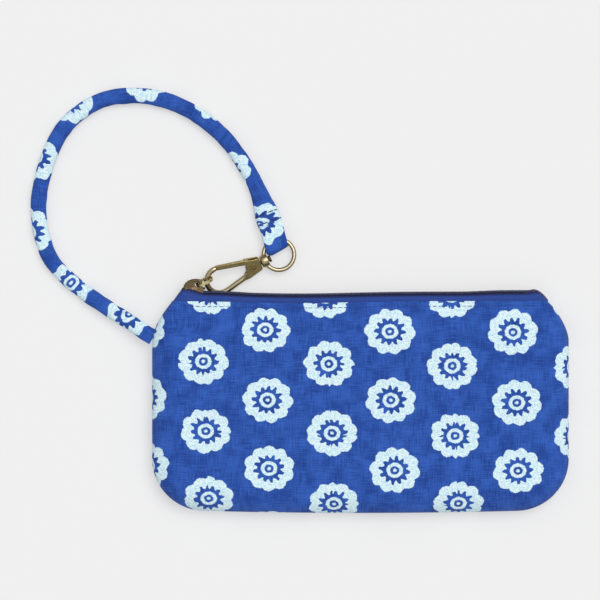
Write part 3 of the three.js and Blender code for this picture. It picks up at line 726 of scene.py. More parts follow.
def grid_halves(name, grid, uvs, material, turned):
    """Two meshes that meet at the middle column, shaded as one."""
    rows, columns = len(grid), len(grid[0])
    flat = [point for row in grid for point in row]
    normals = vertex_normals(flat, grid_faces(rows, columns, turned=turned))
    middle = columns // 2
    made = []
    for suffix, first, last in (("_left", 0, middle + 1), ("_right", middle, columns)):
        picks = [row * columns + column for row in range(rows) for column in range(first, last)]
        faces = grid_faces(rows, last - first, turned=turned)
        made.append(finish_mesh(name + suffix, [flat[i] for i in picks], faces,
                                [uvs[i] for i in picks], material, [normals[i] for i in picks]))
    return made


def smooth(low, high, value):
    share = min(max((value - low) / (high - low), 0.0), 1.0)
    return share * share * (3 - 2 * share)


def quarter(share):
    """Height of a quarter circle at a share of its width."""
    share = min(max(share, 0.0), 1.0)
    return math.sqrt(max(1 - (1 - share) ** 2, 0.0))


# Cloth panels

def half_width(y):
    up = min(y - BOTTOM_Y, CORNER_RADIUS)
    corner = CORNER_RADIUS - math.sqrt(max(CORNER_RADIUS ** 2 - (CORNER_RADIUS - up) ** 2, 0.0))
    share = max(y - SHOULDER_Y, 0.0) / (MOUTH_Y - SHOULDER_Y)
    return HALF_WIDTH - corner - SHOULDER_INSET * share ** SHOULDER_POWER


def panel_height(x, y, side):
    rise = FRONT_RISE if side > 0 else BACK_RISE
    end_round = EDGE_ROUND + (MOUTH_END_ROUND - EDGE_ROUND) * smooth(*END_ROUND_Y, y)
    up = quarter((y - BOTTOM_Y) / EDGE_ROUND)
    across = quarter((half_width(y) - abs(x)) / end_round)
    crest = rise + (MOUTH_RISE - rise) * smooth(SHOULDER_Y, MOUTH_Y, y)
    return crest * up * across


def ripple(x, y, side, wave):
    """One set of cloth waves."""
    across, up, seed, height = wave
    return height * noise.noise(Vector((x * across, y * up, side * seed)))


def crumple(x, y, side):
    """Small cloth waves: soft ones all over, tighter ones along the seams and the zip."""
    rim = min(half_width(y) - abs(x), y - BOTTOM_Y)
    wave = ripple(x, y, side, SOFT_WAVE) + ripple(x, y, side, FINE_WAVE)
    wave += ripple(x, y, side, PUCKER) * math.exp(-rim / PUCKER_REACH)
    wave += ripple(x, y, side, GATHER) * math.exp((y - MOUTH_Y) / GATHER_REACH)
    if side < 0:
        wave = -abs(wave)
    return wave * smooth(0.0, FLAT_RIM, rim)


def drawn(point):
    """Curves the bottom seam and the mouth a little."""
    sag = BOTTOM_SAG * min((point.x / half_width(BOTTOM_Y)) ** 2, 1.0) * smooth(0.0, BOTTOM_Y, point.y)
    wave = zip_wave(point.x) * smooth(SHOULDER_Y, MOUTH_Y, point.y)
    return Vector((point.x, point.y + sag + wave, point.z))


def zip_wave(x):
    """How far the soft zip line stands above or below its straight course."""
    depth, middle, spread = ZIP_SAG
    lift, first, last = ZIP_LIFT
    return lift * smooth(first, last, x) - depth * math.exp(-((x - middle) / spread) ** 2)


def zip_dip(x):
    """How far the zip's own edge sinks between the slider's two ends of travel."""
    near, far = ZIP_DIP_X
    return -ZIP_DIP * (smooth(-far, -near, x) - smooth(near, far, x))


def column_shares():
    """Column places from -1 to 1, close together at the seams."""
    shares = []
    for column in range(-HALF_COLUMNS, HALF_COLUMNS + 1):
        share = column / HALF_COLUMNS
        shares.append(math.copysign(math.sin(abs(share) * math.pi / 2) ** COLUMN_POWER, share))
    return shares


def row_places(count):
    """Row places from the bottom seam to the mouth, close together at the bottom."""
    depth = MOUTH_Y - BOTTOM_Y
    shares = [1 - math.cos((row / count) * math.pi / 2) for row in range(count + 1)]
    return [BOTTOM_Y + depth * share ** ROW_POWER for share in shares]


def sheet_rows(side, ys, drop, waves):
    """Rows of one panel surface, drop below the outer face."""
    rows = []
    for y in ys:
        row = []
        for share in column_shares():
            x = share * half_width(y)
            height = panel_height(x, y, side) + (crumple(x, y, side) if waves else 0.0)
            row.append(drawn(Vector((x, y, SEAM_Z + side * max(height - drop, LEAST_HEIGHT)))))
        rows.append(row)
    return rows


def print_place(across, up):
    """Cloth coordinates of a place measured from the middle of a flower."""
    return PRINT_ORIGIN[0] + across, PRINT_ORIGIN[1] + up


def print_slip(point):
    """How far the half flower at the mouth's left end slipped in printing."""
    x0, x1, x2, x3 = PRINT_SLIP_X
    return PRINT_SLIP * (smooth(x0, x1, point.x) - smooth(x2, x3, point.x)) * smooth(*PRINT_SLIP_Y, point.y)


def cloth_uvs(rows, slipped=False):
    """Cloth coordinates: lengths along each row from the middle, and along the middle column."""
    middle = len(rows[0]) // 2
    spine = [row[middle] for row in rows]
    v = lengths(spine)
    nearest = min(range(len(spine)), key=lambda number: abs(spine[number].y))
    shift = spine[nearest].y - v[nearest]
    uvs = []
    for number, row in enumerate(rows):
        run = lengths(row)
        u = [place - run[middle] for place in run]
        if slipped:
            u = [place - print_slip(point) for place, point in zip(u, row)]
        uvs.extend((place, v[number] + shift) for place in u)
    return uvs


def panel_rows(side):
    """Outer face from the bottom seam up, over the fold at the mouth, and down the inner face."""
    edge_y = MOUTH_Y - LIP_RADIUS
    ys = [y for y in row_places(PANEL_ROWS) if y < edge_y - LIP_CLEAR] + [edge_y]
    rows = sheet_rows(side, ys, 0.0, True)
    fold = []
    for step in range(1, LIP_STEPS):
        angle = math.pi * step / LIP_STEPS
        lift = Vector((0, LIP_RADIUS * math.sin(angle), 0))
        sink = LIP_RADIUS * (1 - math.cos(angle))
        row = []
        for point in rows[-1]:
            height = max(abs(point.z - SEAM_Z) - sink, LEAST_HEIGHT)
            row.append(Vector((point.x, point.y, SEAM_Z + side * height)) + lift)
        fold.append(row)
    inner = sheet_rows(side, ys[::-INNER_ROW_STEP] + [ys[0]], 2 * LIP_RADIUS, True)
    return rows + fold + inner


def lining_rows(side):
    ys = [y for y in row_places(PANEL_ROWS // LINING_ROW_STEP) if LINING_LOW_Y < y < LINING_TOP_Y]
    return sheet_rows(side, ys + [LINING_TOP_Y], LINING_DROP, False)


def tape_rows(side):
    """Zip tape: flat beside the coil, then bent down inside the fold, with its own thickness."""
    half = TAPE_THICKNESS / 2
    top, out = TAPE_TOP_Y - half, TAPE_OUTER - half
    middle = [(top, TAPE_INNER)]
    for step in range(TAPE_BEND_STEPS + 1):
        angle = math.pi / 2 * step / TAPE_BEND_STEPS
        middle.append((top - TAPE_BEND * (1 - math.cos(angle)), out - TAPE_BEND * (1 - math.sin(angle))))
    middle += [(top - 2 * TAPE_BEND, out), (MOUTH_Y, out), (TAPE_LOW_Y, out)]
    directions = tangents([Vector((0, y, z)) for y, z in middle])
    outer, inner = (
        [(y + along.z * reach, z - along.y * reach) for (y, z), along in zip(middle, directions)]
        for reach in (half, -half)
    )
    rows = []
    for y, z in outer + inner[::-1] + outer[:1]:
        row = []
        for column in range(TAPE_COLUMNS + 1):
            share = column / TAPE_COLUMNS
            lift = TAPE_LEFT_RISE * smooth(TAPE_LEFT_FROM, 0.0, share)
            if side > 0:
                lift += TAPE_RIGHT_RISE * smooth(TAPE_RIGHT_FROM, 1.0, share)
            high = y + lift * smooth(MOUTH_Y, TAPE_TOP_Y, y)
            up = max(high - MOUTH_Y, 0.0)
            first = -half_width(MOUTH_Y) + up * TAPE_LEFT_SLOPE + TAPE_END_GAP
            last = half_width(MOUTH_Y) - up * TAPE_RIGHT_SLOPE - TAPE_END_GAP
            x = first + (last - first) * share
            wave = ripple(x, y, side, TAPE_WAVE) * smooth(TAPE_TOP_Y, TAPE_WAVE_Y, y)
            end = quarter((min(x - first, last - x) + TAPE_END_START) / TAPE_END_ROUND)
            depth = TAPE_END_DEPTH + (z - TAPE_END_DEPTH + wave) * end
            sunk = zip_wave(x) + zip_dip(x) * smooth(MOUTH_Y, TAPE_TOP_Y, y)
            row.append(Vector((x, high + sunk, SEAM_Z + side * depth)))
        rows.append(row)
    return rows


# Sweeps: a section carried along a line

def spline(points, steps):
    """Centripetal Catmull-Rom line through the points."""
    knots = [Vector(point) for point in points]
    knots = [knots[0] * 2 - knots[1]] + knots + [knots[-1] * 2 - knots[-2]]
    line = []
    for number in range(1, len(knots) - 2):
        p0, p1, p2, p3 = knots[number - 1:number + 3]
        t1 = (p1 - p0).length ** 0.5
        t2 = t1 + (p2 - p1).length ** 0.5
        t3 = t2 + (p3 - p2).length ** 0.5
        for step in range(steps):
            t = t1 + (t2 - t1) * step / steps
            a1 = p0 * ((t1 - t) / t1) + p1 * (t / t1)
            a2 = p1 * ((t2 - t) / (t2 - t1)) + p2 * ((t - t1) / (t2 - t1))
            a3 = p2 * ((t3 - t) / (t3 - t2)) + p3 * ((t - t2) / (t3 - t2))
            b1 = a1 * ((t2 - t) / t2) + a2 * (t / t2)
            b2 = a2 * ((t3 - t) / (t3 - t1)) + a3 * ((t - t1) / (t3 - t1))
            line.append(b1 * ((t2 - t) / (t2 - t1)) + b2 * ((t - t1) / (t2 - t1)))
    return line + [knots[-2]]


def lengths(line):
    """Length along a line from its start to each point."""
    run = [0.0]
    for before, after in zip(line, line[1:]):
        run.append(run[-1] + (after - before).length)
    return run


def even(line, count):
    """The same line with evenly spaced points."""
    run = lengths(line)
    made, at = [], 0
    for number in range(count + 1):
        want = run[-1] * number / count
        while at < len(run) - 2 and run[at + 1] < want:
            at += 1
        span = run[at + 1] - run[at]
        made.append(line[at].lerp(line[at + 1], (want - run[at]) / span))
    return made


def tangents(line, closed=False):
    count = len(line)
    made = []
    for number in range(count):
        after = line[(number + 1) % count] if closed else line[min(number + 1, count - 1)]
        before = line[number - 1] if closed or number else line[0]
        made.append((after - before).normalized())
    return made


def arc(radius, first, last, steps, x=0.0, y=0.0):
    """Points of an arc round a centre, from one angle to another in degrees."""
    angles = [math.radians(first + (last - first) * step / steps) for step in range(steps + 1)]
    return [(x + radius * math.cos(angle), y + radius * math.sin(angle)) for angle in angles]


def squared(value, power):
    """A sine or cosine, fuller where power is below one."""
    return math.copysign(abs(value) ** power, value)


def ring_points(centre, side, normal, half_wide, half_high, sides, power=1.0):
    """One section: an ellipse, squarer where power is below one."""
    points = []
    for number in range(sides):
        angle = 2 * math.pi * number / sides
        across = squared(math.cos(angle), power) * half_wide
        up = squared(math.sin(angle), power) * half_high
        points.append(centre + side * across + normal * up)
    return points


def round_bar(name, line, radius, material, sides, closed=False, flat=1.0, up=Vector((0, 0, 1))):
    """A wire along a line; radius is a number, or one for each point."""
    radii = radius if isinstance(radius, list) else [radius] * len(line)
    points = []
    for centre, along, size in zip(line, tangents(line, closed), radii):
        side = along.cross(up).normalized()
        normal = side.cross(along).normalized()
        points.extend(ring_points(centre, side, normal, size, size * flat, sides))
    rows = len(line)
    last = rows * sides - sides
    faces = grid_faces(rows, sides, closed=True, turned=True)
    if closed:
        faces.extend((i, (i + 1) % sides, last + (i + 1) % sides, last + i) for i in range(sides))
    else:
        faces.append(tuple(range(sides)))
        faces.append(tuple(range(last, last + sides))[::-1])
    return finish_mesh(name, points, faces, None, material)


# Wrist strap: one sewn tube, in stretches

def strap_section(centre, along, run, total):
    """Section points round the strap, from the middle of the top."""
    side = along.cross(Vector((0, 0, 1))).normalized()
    normal = side.cross(along).normalized()
    swell, per_mm = STRAP_PUFF
    puff = 1.0 + swell * noise.noise(Vector((run * per_mm, 3.0, 1.0)))
    wider, first, last = STRAP_SPREAD
    spread = 1.0 + wider * smooth(total - first, total - last, run)
    least, reach = STRAP_PRESS
    press = least + (1.0 - least) * smooth(0.0, reach, run)
    depth, along_mm, around = STRAP_WAVE
    points = []
    for number in range(STRAP_SIDES):
        angle = math.pi / 2 + 2 * math.pi * number / STRAP_SIDES
        c, s = math.cos(angle), math.sin(angle)
        wave = 1.0 + depth * noise.noise(Vector((run * along_mm, c * around, s * around)))
        across = squared(c, STRAP_SQUARE[0]) * STRAP_WIDTH / 2 * puff * spread * wave
        up = squared(s, STRAP_SQUARE[1]) * STRAP_HEIGHT / 2 * wave * press
        points.append(centre + side * across + normal * up)
    return points


def strap_print(length):
    """Print's place along the strap and round it: the cloth twists a little between the flowers."""
    passed = sum(1 for place, _ in STRAP_FLOWERS if place <= length)
    number = min(max(passed - 1, 0), len(STRAP_FLOWERS) - 2)
    (start, turn), (end, next_turn) = STRAP_FLOWERS[number:number + 2]
    share = (length - start) / (end - start)
    return (number + share) * PRINT_UP[1], turn + (next_turn - turn) * smooth(*STRAP_TWIST, share)


def bend_strap(piece):
    """Bakes one piece of the strap's placement into its mesh."""
    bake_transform(piece)


def make_strap(material):
    line = even(spline(STRAP_ROUTE, STRAP_SPLINE), STRAP_STEPS)
    run = lengths(line)
    total = run[-1]
    directions = tangents(line)
    points, uvs = [], []
    round_length = math.pi * (STRAP_WIDTH + STRAP_HEIGHT) / 2
    for number, centre in enumerate(line):
        section = strap_section(centre, directions[number], run[number], total)
        rise, turn = strap_print(run[number])
        lean = PRINT_UP[0] * rise / PRINT_UP[1]
        points.append(section + section[:1])
        for place in range(STRAP_SIDES + 1):
            around = ((place / STRAP_SIDES + 0.5) % 1.0 - 0.5) if place < STRAP_SIDES else 0.0
            uvs.append(print_place(turn + lean + around * round_length, rise))
    flat = [point for section in points for point in section]
    columns = STRAP_SIDES + 1
    normals = vertex_normals(flat, grid_faces(len(points), columns, turned=True))
    for row in range(len(points)):
        first, last = row * columns, row * columns + STRAP_SIDES
        joint = (Vector(normals[first]) + Vector(normals[last])).normalized()
        normals[first] = normals[last] = tuple(joint)
    spans = list(zip(STRAP_CUTS, STRAP_CUTS[1:]))
    for number, (first, last) in enumerate(spans):
        picks = range(first * columns, (last + 1) * columns)
        faces = grid_faces(last - first + 1, columns, turned=True)
        made = finish_mesh("wrist_strap_%d" % (number + 1), [flat[i] for i in picks], faces,
                           [uvs[i] for i in picks], material, [normals[i] for i in picks])
        bend_strap(made)
        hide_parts("wrist_strap", "strap_seam_tab")
    fold_end(points, normals, run, material)
    return line, points, run


def fold_end(points, normals, run, material):
    """The strap's end, turned back over it and sewn down."""
    columns = STRAP_SIDES + 1
    first = min(number for number, length in enumerate(run) if length > run[-1] - FOLD_LENGTH)
    reach = range(-FOLD_SIDES, FOLD_SIDES + 1)
    patch, uvs = [], []
    for row in range(first, len(points)):
        edge = FOLD_RIM + (1 - FOLD_RIM) * smooth(0.0, FOLD_EDGE, run[row] - run[first])
        for step in reach:
            column = step % STRAP_SIDES
            side = 1.0 - (1 - FOLD_RIM) * smooth(FOLD_SIDES - FOLD_SLOPE, FOLD_SIDES, abs(step))
            lift = FOLD_THICKNESS * edge * side
            patch.append(points[row][column] + Vector(normals[row * columns + column]) * lift)
            across = step / STRAP_SIDES * math.pi * (STRAP_WIDTH * FOLD_SPREAD + STRAP_HEIGHT) / 2
            along = (run[row] - run[-1]) * FOLD_SHRINK + FOLD_FLOWER[1]
            uvs.append(print_place(FOLD_FLOWER[0] + across, along))
    faces = grid_faces(len(points) - first, len(reach), turned=True)
    made = finish_mesh("strap_end_fold", patch, faces, uvs, material)
    bend_strap(made)


def make_cross_stitches(line, points, run, material):
    """Rows of stitches across the strap's turned end."""
    starts = []
    for back in CROSS_STITCHES:
        row = min(range(len(run)), key=lambda number: abs(run[number] - run[-1] + back))
        for step in range(CROSS_MARGIN - FOLD_SIDES, FOLD_SIDES - CROSS_MARGIN + 1, 2):
            before, middle, after = (points[row][(step + n) % STRAP_SIDES] for n in (-1, 0, 1))
            along = after - before
            up = (middle - line[row]).normalized()
            centre = middle + up * FOLD_THICKNESS * CROSS_LIFT
            starts.append((centre, along.normalized(), up, along.length * CROSS_LENGTH))
    stitches = thread_rows("cross_stitches", starts, material, CROSS_THREAD)
    bend_strap(stitches)


# Pouch body

def carry(piece, side, slot, *replaced):
    """A front piece stays where it is built; a back one is attached to the pouch."""
    if side > 0:
        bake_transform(piece)
    else:
        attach(piece, "pouch")
    if replaced:
        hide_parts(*replaced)


def make_panels(cotton, lining):
    for name, side in SIDES:
        rows = panel_rows(side)
        shells = grid_halves(name + "_panel", rows, cloth_uvs(rows, side > 0), cotton, turned=side < 0)
        inside = lining_rows(side)
        sheets = grid_halves(name + "_lining_cloth", inside, cloth_uvs(inside), lining, turned=side > 0)
        for shell in shells:
            carry(shell, side, "printed_cotton", name + "_outer_panel", name + "_interlining")
        for sheet in sheets:
            carry(sheet, side, "lining_cotton", name + "_lining")


def paint_coil_shade(piece, rows):
    """Marks the tape's edge, where the coil is sewn to it, for painted shade under the coil."""
    spine = [row[len(row) // 2].y for row in rows]
    columns = len(piece.data.vertices) // len(rows)
    painted_shade = [smooth(*TAPE_SHADE_SPAN, max(spine) - y) for y in spine]
    mark(piece, "edge", [dark for dark in painted_shade for _ in range(columns)])


def make_tapes(material):
    for name, side in SIDES:
        rows = tape_rows(side)
        halves = grid_halves(name + "_tape", rows, cloth_uvs(rows), material, turned=side > 0)
        for half in halves:
            paint_coil_shade(half, rows)
            carry(half, side, "zip_tape", name + "_zip_tape")


def make_coils(material):
    turns = int((COIL_X1 - COIL_X0) / COIL_PITCH)
    course = Vector((1, 0, 0))
    for name, side in SIDES:
        line = []
        for step in range(turns * COIL_STEPS + 1):
            turn = step / COIL_STEPS
            angle = 2 * math.pi * turn
            x = COIL_X0 + COIL_PITCH * (turn + (0.5 if side > 0 else 0.0))
            y = COIL_BASE_Y + COIL_HEIGHT / 2 * (1 - math.cos(angle)) + zip_wave(x) + zip_dip(x)
            z = SEAM_Z + side * (COIL_SHIFT + COIL_REACH * math.sin(angle))
            line.append(Vector((x, y, z)))
        middle = min(range(len(line)), key=lambda i: abs(line[i].x))
        for suffix, part in (("_left", line[:middle + 1]), ("_right", line[middle:])):
            coil = round_bar(name + "_coil" + suffix, part, COIL_WIRE, material, COIL_SIDES, up=course)
            core_z = SEAM_Z + side * (COIL_SHIFT + CORE_SHIFT)
            core_y = COIL_BASE_Y + COIL_HEIGHT / 2
            core = even([Vector((end.x, core_y, core_z)) for end in (part[0], part[-1])], CORE_STEPS)
            core = [point + Vector((0, zip_wave(point.x) + zip_dip(point.x), 0)) for point in core]
            join(coil, round_bar(name + "_core" + suffix, core, CORE_RADIUS, material, CORE_SIDES))
            carry(coil, side, "zip_nylon", name + "_zip_coil")
    tail = spline([(x, y, SEAM_Z) for x, y in ZIP_TAIL], ZIP_TAIL_SPLINE)
    tail = round_bar("zip_tail", even(tail, ZIP_TAIL_STEPS), ZIP_TAIL_RADIUS, material, ZIP_TAIL_SIDES)
    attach(tail, "pouch")


# Strap's end, folded round the ring

def loop_skew(side, y):
    """How far the fold hangs askew, given the place across it and along it."""
    (x0, y0), (x1, y1), (x2, y2) = LOOP_SKEW
    if side < x1:
        askew = y0 + (y1 - y0) * smooth(x0, x1, side)
    else:
        askew = y1 + (y2 - y1) * (side - x1) / (x2 - x1)
    return askew * (1.0 - smooth(LOOP_BEND, LOOP_BEND + LOOP_SKEW_REACH, y))


def make_loop(material):
    straight = [LOOP_END + (LOOP_BEND - LOOP_END) * step / LOOP_STEPS for step in range(LOOP_STEPS + 1)]
    bend = arc(LOOP_GAP, 90, 270, LOOP_STEPS, LOOP_BEND)[1:-1]
    course = [(y, LOOP_GAP) for y in straight] + bend + [(y, -LOOP_GAP) for y in straight[::-1]]
    line = [Vector((0, y, z)) for y, z in course]
    run = lengths(line)
    place = level_matrix() @ Matrix.Translation((RING_X * MM, 0, 0))
    place = place @ Matrix.Rotation(math.radians(LOOP_SWING), 4, "Z")
    points, uvs = [], []
    depth, per_mm = LOOP_WAVE
    across = Vector((1, 0, 0))
    for number, (centre, along) in enumerate(zip(line, tangents(line))):
        normal = along.cross(across).normalized()
        half = LOOP_WIDTH / 2 * (1.0 + depth * noise.noise(Vector((run[number] * per_mm, 5.0, 2.0))))
        section = ring_points(centre, across, normal, half, LOOP_THICKNESS / 2, LOOP_SIDES, LOOP_SQUARE)
        for point in section + section[:1]:
            side = (point - centre).dot(across)
            hung = point + Vector((0, loop_skew(side, point.y), 0))
            points.append((place @ (hung * MM)) / MM)
            uvs.append(print_place(LOOP_PRINT[0] + side, LOOP_PRINT[1] + run[number]))
    loop = finish_mesh("strap_end_loop", points, grid_faces(len(line), LOOP_SIDES + 1), uvs, material)
    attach(loop, "ring")
    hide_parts("strap_ring_loop")


# Thread

def thread_rows(name, starts, material, weight=1.0):
    """Short stitches: each start is a centre, a direction, the way up and a length."""
    skin = grid_faces(len(STITCH_SHAPE), STITCH_SIDES, closed=True, turned=True)
    points, faces = [], []
    for centre, along, up, size in starts:
        side = along.cross(up).normalized()
        for share, lift, thick in STITCH_SHAPE:
            middle = centre + along * (size * share) + up * lift
            wide = thick * weight
            points.extend(ring_points(middle, side, up, wide, wide * STITCH_FLAT, STITCH_SIDES))
        first = len(points) - STITCH_SIDES * len(STITCH_SHAPE)
        faces.extend(tuple(first + index for index in face) for face in skin)
    return finish_mesh(name, points, faces, None, material)


def make_topstitch(material):
    starts = {"_left": [], "_right": []}
    along, up = Vector((1, 0, 0)), Vector(TOPSTITCH_UP).normalized()
    for number in range(int(2 * TOPSTITCH_HALF / TOPSTITCH_PITCH)):
        x = -TOPSTITCH_HALF + TOPSTITCH_PITCH * (number + 0.5)
        z = SEAM_Z + panel_height(x, TOPSTITCH_Y, 1) + crumple(x, TOPSTITCH_Y, 1)
        y = TOPSTITCH_Y + zip_wave(x)
        item = (Vector((x, y, z)), along, up, TOPSTITCH_PITCH * TOPSTITCH_LENGTH)
        starts["_left" if x < 0 else "_right"].append(item)
    for suffix, items in starts.items():
        carry(thread_rows("topstitch" + suffix, items, material), 1, "printed_cotton")


# Metal

def arm_offset(x):
    """Half height of the teardrop's straight arms at a distance along the clasp."""
    apex = HOOK_RADIUS / math.sin(math.radians(ARM_ANGLE))
    return (apex - x) * math.tan(math.radians(ARM_ANGLE))


def metal_piece(piece, matrix, body, *replaced):
    piece.data.transform(matrix)
    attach(piece, body)
    if replaced:
        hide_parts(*replaced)


def plate(name, outline, thickness, material, bevel, holes=()):
    """A flat plate with rounded edges from an outline in its own plane, and round holes (x, y, radius)."""
    curve = bpy.data.curves.new(name, "CURVE")
    curve.dimensions = "2D"
    curve.fill_mode = "BOTH"
    for loop in [outline] + [arc(radius, 0, 360, HOLE_STEPS, x, y)[:-1] for x, y, radius in holes]:
        line = curve.splines.new("POLY")
        line.points.add(len(loop) - 1)
        for point, (x, y) in zip(line.points, loop):
            point.co = (x * MM, y * MM, 0, 1)
        line.use_cyclic_u = True
    curve.extrude = (thickness / 2 - bevel) * MM
    curve.bevel_depth = bevel * MM
    curve.bevel_resolution = EDGE_SEGMENTS
    curve.offset = -bevel * MM
    maker = add_object(name, curve)
    mesh = bpy.data.meshes.new_from_object(maker.evaluated_get(bpy.context.evaluated_depsgraph_get()))
    bpy.data.objects.remove(maker)
    shade(mesh, material, PLATE_SHARP)
    return add_object(name, mesh)


def turned(name, profile, material, sides=TURNED_SIDES):
    """A piece turned round X from (x, radius) pairs."""
    points = []
    across, up = Vector((0, 1, 0)), Vector((0, 0, 1))
    for x, radius in profile:
        points.extend(ring_points(Vector((x, 0, 0)), across, up, radius, radius, sides))
    faces = grid_faces(len(profile), sides, closed=True)
    faces.append(tuple(range(sides))[::-1])
    faces.append(tuple(range(len(points) - sides, len(points))))
    made = finish_mesh(name, points, faces, None, material)
    made.data.set_sharp_from_angle(angle=math.radians(TURNED_SHARP))
    return made


def hook_line():
    line = [(x, -arm_offset(x), 0) for x in (BLOCK_START + HOOK_WIRE, BLOCK_START / 2)]
    line += [(x, y, 0) for x, y in arc(HOOK_RADIUS, 270 + ARM_ANGLE, NOSE_ANGLE, HOOK_STEPS)]
    return even(spline(line, HOOK_SPLINE), HOOK_POINTS)


def paint_highlight(piece, reach, most=1.0):
    """Marks how much painted highlight each point takes, most on the face that stands highest, towards the
    lamp.
    """
    heights = [vertex.co.z / MM for vertex in piece.data.vertices]
    mark(piece, PAINTED_HIGHLIGHT, [most * smooth(reach * HIGHLIGHT_FROM, reach, height) for height in heights])


def paint_highlight_facing(piece, facing, most):
    """Marks the points that face one way, towards the light, for a painted highlight."""
    turns = [vertex.normal.dot(facing) for vertex in piece.data.vertices]
    mark(piece, PAINTED_HIGHLIGHT, [most * smooth(0.0, HIGHLIGHT_FACING, turn) for turn in turns])


def make_ring(material):
    line = [Vector((x, y, 0)) for x, y in arc(RING_RADIUS, 0, 360, RING_STEPS, RING_X)[:-1]]
    ring = round_bar("ring_wire", line, RING_WIRE / 2, material, WIRE_SIDES, closed=True)
    # painted highlight along the tops of the ring and the hub
    paint_highlight(ring, RING_WIRE / 2)
    boss = turned("ring_hub", [(HUB_START + along, radius) for along, radius in HUB_PROFILE], material)
    paint_highlight(boss, HUB_RADIUS, HUB_HIGHLIGHT)
    join(ring, boss)
    metal_piece(ring, level_matrix(), "ring", "swivel_ring")


def make_gate(material):
    tip = HOOK_RADIUS * math.cos(math.radians(NOSE_ANGLE)) + GATE_NOSE_GAP
    half = GATE_WIDTH / 2 / math.cos(math.radians(ARM_ANGLE))
    shoulder = RIVET_X - GATE_EYE - GATE_NECK
    outline = [(tip, arm_offset(tip) - half), (shoulder, arm_offset(shoulder) - half)]
    outline += arc(GATE_EYE, *GATE_EYE_ARC, GATE_EYE_STEPS, RIVET_X)
    outline += [(shoulder + GATE_STEP, arm_offset(shoulder) + half), (tip, arm_offset(tip) + half)]
    gate = plate("gate_bar", outline, GATE_THICKNESS, material, GATE_ROUND, [(RIVET_X, 0.0, GATE_HOLE)])
    metal_piece(gate, clasp_matrix(), "gate", "clasp_gate")


def make_hook(material):
    line = hook_line()
    run = lengths(line)
    tip, reach = HOOK_TIP
    radii = [HOOK_WIRE / 2 * (tip + (1 - tip) * smooth(0.0, reach, run[-1] - length)) for length in run]
    hook = round_bar("clasp_hook", line, radii, material, WIRE_SIDES, flat=HOOK_FLAT)
    metal_piece(hook, clasp_matrix(), "clasp")
    # painted highlight on the arm's side that faces the light
    paint_highlight_facing(hook, Vector(ARM_LIGHT), ARM_HIGHLIGHT)


def block_outline():
    """Cheek of the block: the two arms run together, with a round corner inside."""
    half = HOOK_WIRE / 2 / math.cos(math.radians(ARM_ANGLE))
    before = BLOCK_END - BLOCK_CORNER
    high, low = arm_offset(before) + half, arm_offset(BLOCK_FRONT) + half
    end = arm_offset(BLOCK_END) + half - BLOCK_CORNER
    tip = arm_offset(BLOCK_ROOT)
    outline = [(BLOCK_ROOT, -tip - BLOCK_TIP), (BLOCK_FRONT, -low), (before, -high)]
    outline += [(BLOCK_END, -end), (BLOCK_END, end), (before, high), (BLOCK_FRONT, low)]
    start = Vector((BLOCK_FRONT, BLOCK_INNER))
    corner = Vector((BLOCK_FRONT, half - arm_offset(BLOCK_FRONT)))
    last = Vector((BLOCK_ROOT, BLOCK_TIP - tip))
    for step in range(BLOCK_INNER_STEPS + 1):
        share = step / BLOCK_INNER_STEPS
        point = start.lerp(corner, share).lerp(corner.lerp(last, share), share)
        outline.append((point.x, point.y))
    return outline


def make_block(material):
    lift = (BLOCK_THICKNESS - BLOCK_CHEEK) / 2
    for name, side in (("block_top", 1), ("block_under", -1)):
        cheek = plate(name, block_outline(), BLOCK_CHEEK, material, CHEEK_ROUND)
        place = clasp_matrix() @ Matrix.Translation((0, 0, side * lift * MM))
        metal_piece(cheek, place, "clasp", "clasp_body")
    start, last = BLOCK_END - BLOCK_WALL, BLOCK_END - WALL_INSET
    high, end = arm_offset(start), arm_offset(BLOCK_END)
    outline = [(start, -high), (last, -end), (last, end), (start, high)]
    wall = plate("block_wall", outline, BLOCK_THICKNESS - BLOCK_CHEEK, material, WALL_ROUND)
    metal_piece(wall, clasp_matrix(), "clasp")


def make_rivet(material):
    under = [(-height, radius) for height, radius in RIVET_HEAD[::-1]]
    height, radius = RIVET_SHANK
    rivet = turned("rivet", under + [(-height, radius), (height, radius)] + list(RIVET_HEAD), material)
    place = Matrix.Translation((RIVET_X * MM, 0, 0)) @ Matrix.Rotation(-math.pi / 2, 4, "Y")
    metal_piece(rivet, clasp_matrix() @ place, "clasp", "gate_rivet")


def make_crown(material):
    """Domed crown over the slider's tunnel."""
    crown = plate("slider_crown", CROWN, CROWN_WIDTH, material, CROWN_ROUND, [CROWN_HOLE])
    metal_piece(crown, Matrix.Translation((0, 0, SEAM_Z * MM)), "slider")


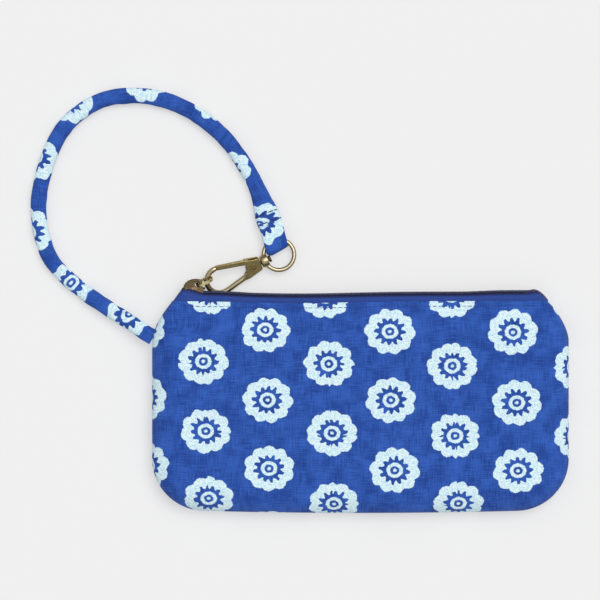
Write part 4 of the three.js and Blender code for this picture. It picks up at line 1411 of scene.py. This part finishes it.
def make_front_stop(material):
    """The front top stop, which stays with the sewn end of its tape."""
    node = nodes["front_top_stop"]
    stop = add_object("front_stop_left", node.data.copy())
    stop.matrix_world = node.matrix_world
    stop.data.materials.clear()
    stop.data.materials.append(material)
    carry(stop, 1, "antique_brass", "front_top_stop")


def make_metal(brass, bright_brass, dark_brass, steel):
    make_ring(brass)
    make_gate(brass)
    make_hook(brass)
    make_block(brass)
    make_rivet(brass)
    make_crown(dark_brass)
    make_front_stop(dark_brass)
    finishes = [(name, bright_brass) for name in BRIGHT_NODES] + [(name, dark_brass) for name in DARK_NODES]
    for name, finish in finishes + [(name, steel) for name in STEEL_NODES]:
        node = nodes[name]
        shade(node.data, finish, NODE_SHARP)
        bevel = node.modifiers.new("edge", "BEVEL")
        bevel.width = NODE_BEVEL * MM
        bevel.segments = EDGE_SEGMENTS
        bevel.limit_method = "ANGLE"
        bevel.angle_limit = math.radians(NODE_SHARP)


# Build

make_camera()
cotton = printed_cotton()
lining = woven("lining_cotton", (0.56, 0.50, 0.38), (0.70, 0.64, 0.52), 0.4, 0.9)
# the tape's last colour is the painted shade under the coil
tape = woven("zip_tape", (0.020, 0.054, 0.26), (0.034, 0.080, 0.34), 0.3, 0.8, (0.016, 0.020, 0.085))
nylon = fibre("zip_nylon", (0.022, 0.025, 0.076), (0.042, 0.047, 0.125), 0.45)
thread = fibre("sewing_thread", (0.015, 0.040, 0.21), (0.027, 0.062, 0.29), 0.65)
dark_thread = fibre("dark_thread", (0.006, 0.016, 0.060), (0.014, 0.030, 0.11), 0.65)
brass = metal("antique_brass", (0.045, 0.034, 0.013), (0.42, 0.33, 0.14), 0.3, 0.6)
bright_brass = metal("bright_brass", (0.28, 0.22, 0.09), (0.80, 0.68, 0.35), 0.26, 0.6)
dark_brass = metal("dark_brass", (0.018, 0.012, 0.006), (0.155, 0.112, 0.060), 0.28, 0.5)
steel = metal("spring_steel", (0.35, 0.35, 0.34), (0.62, 0.62, 0.6), 0.3, 0.4)
strap_line, strap_points, strap_run = make_strap(cotton)
make_panels(cotton, lining)
make_tapes(tape)
make_coils(nylon)
make_loop(cotton)
make_topstitch(thread)
make_cross_stitches(strap_line, strap_points, strap_run, dark_thread)
make_metal(brass, bright_brass, dark_brass, steel)
make_light()
make_floor()
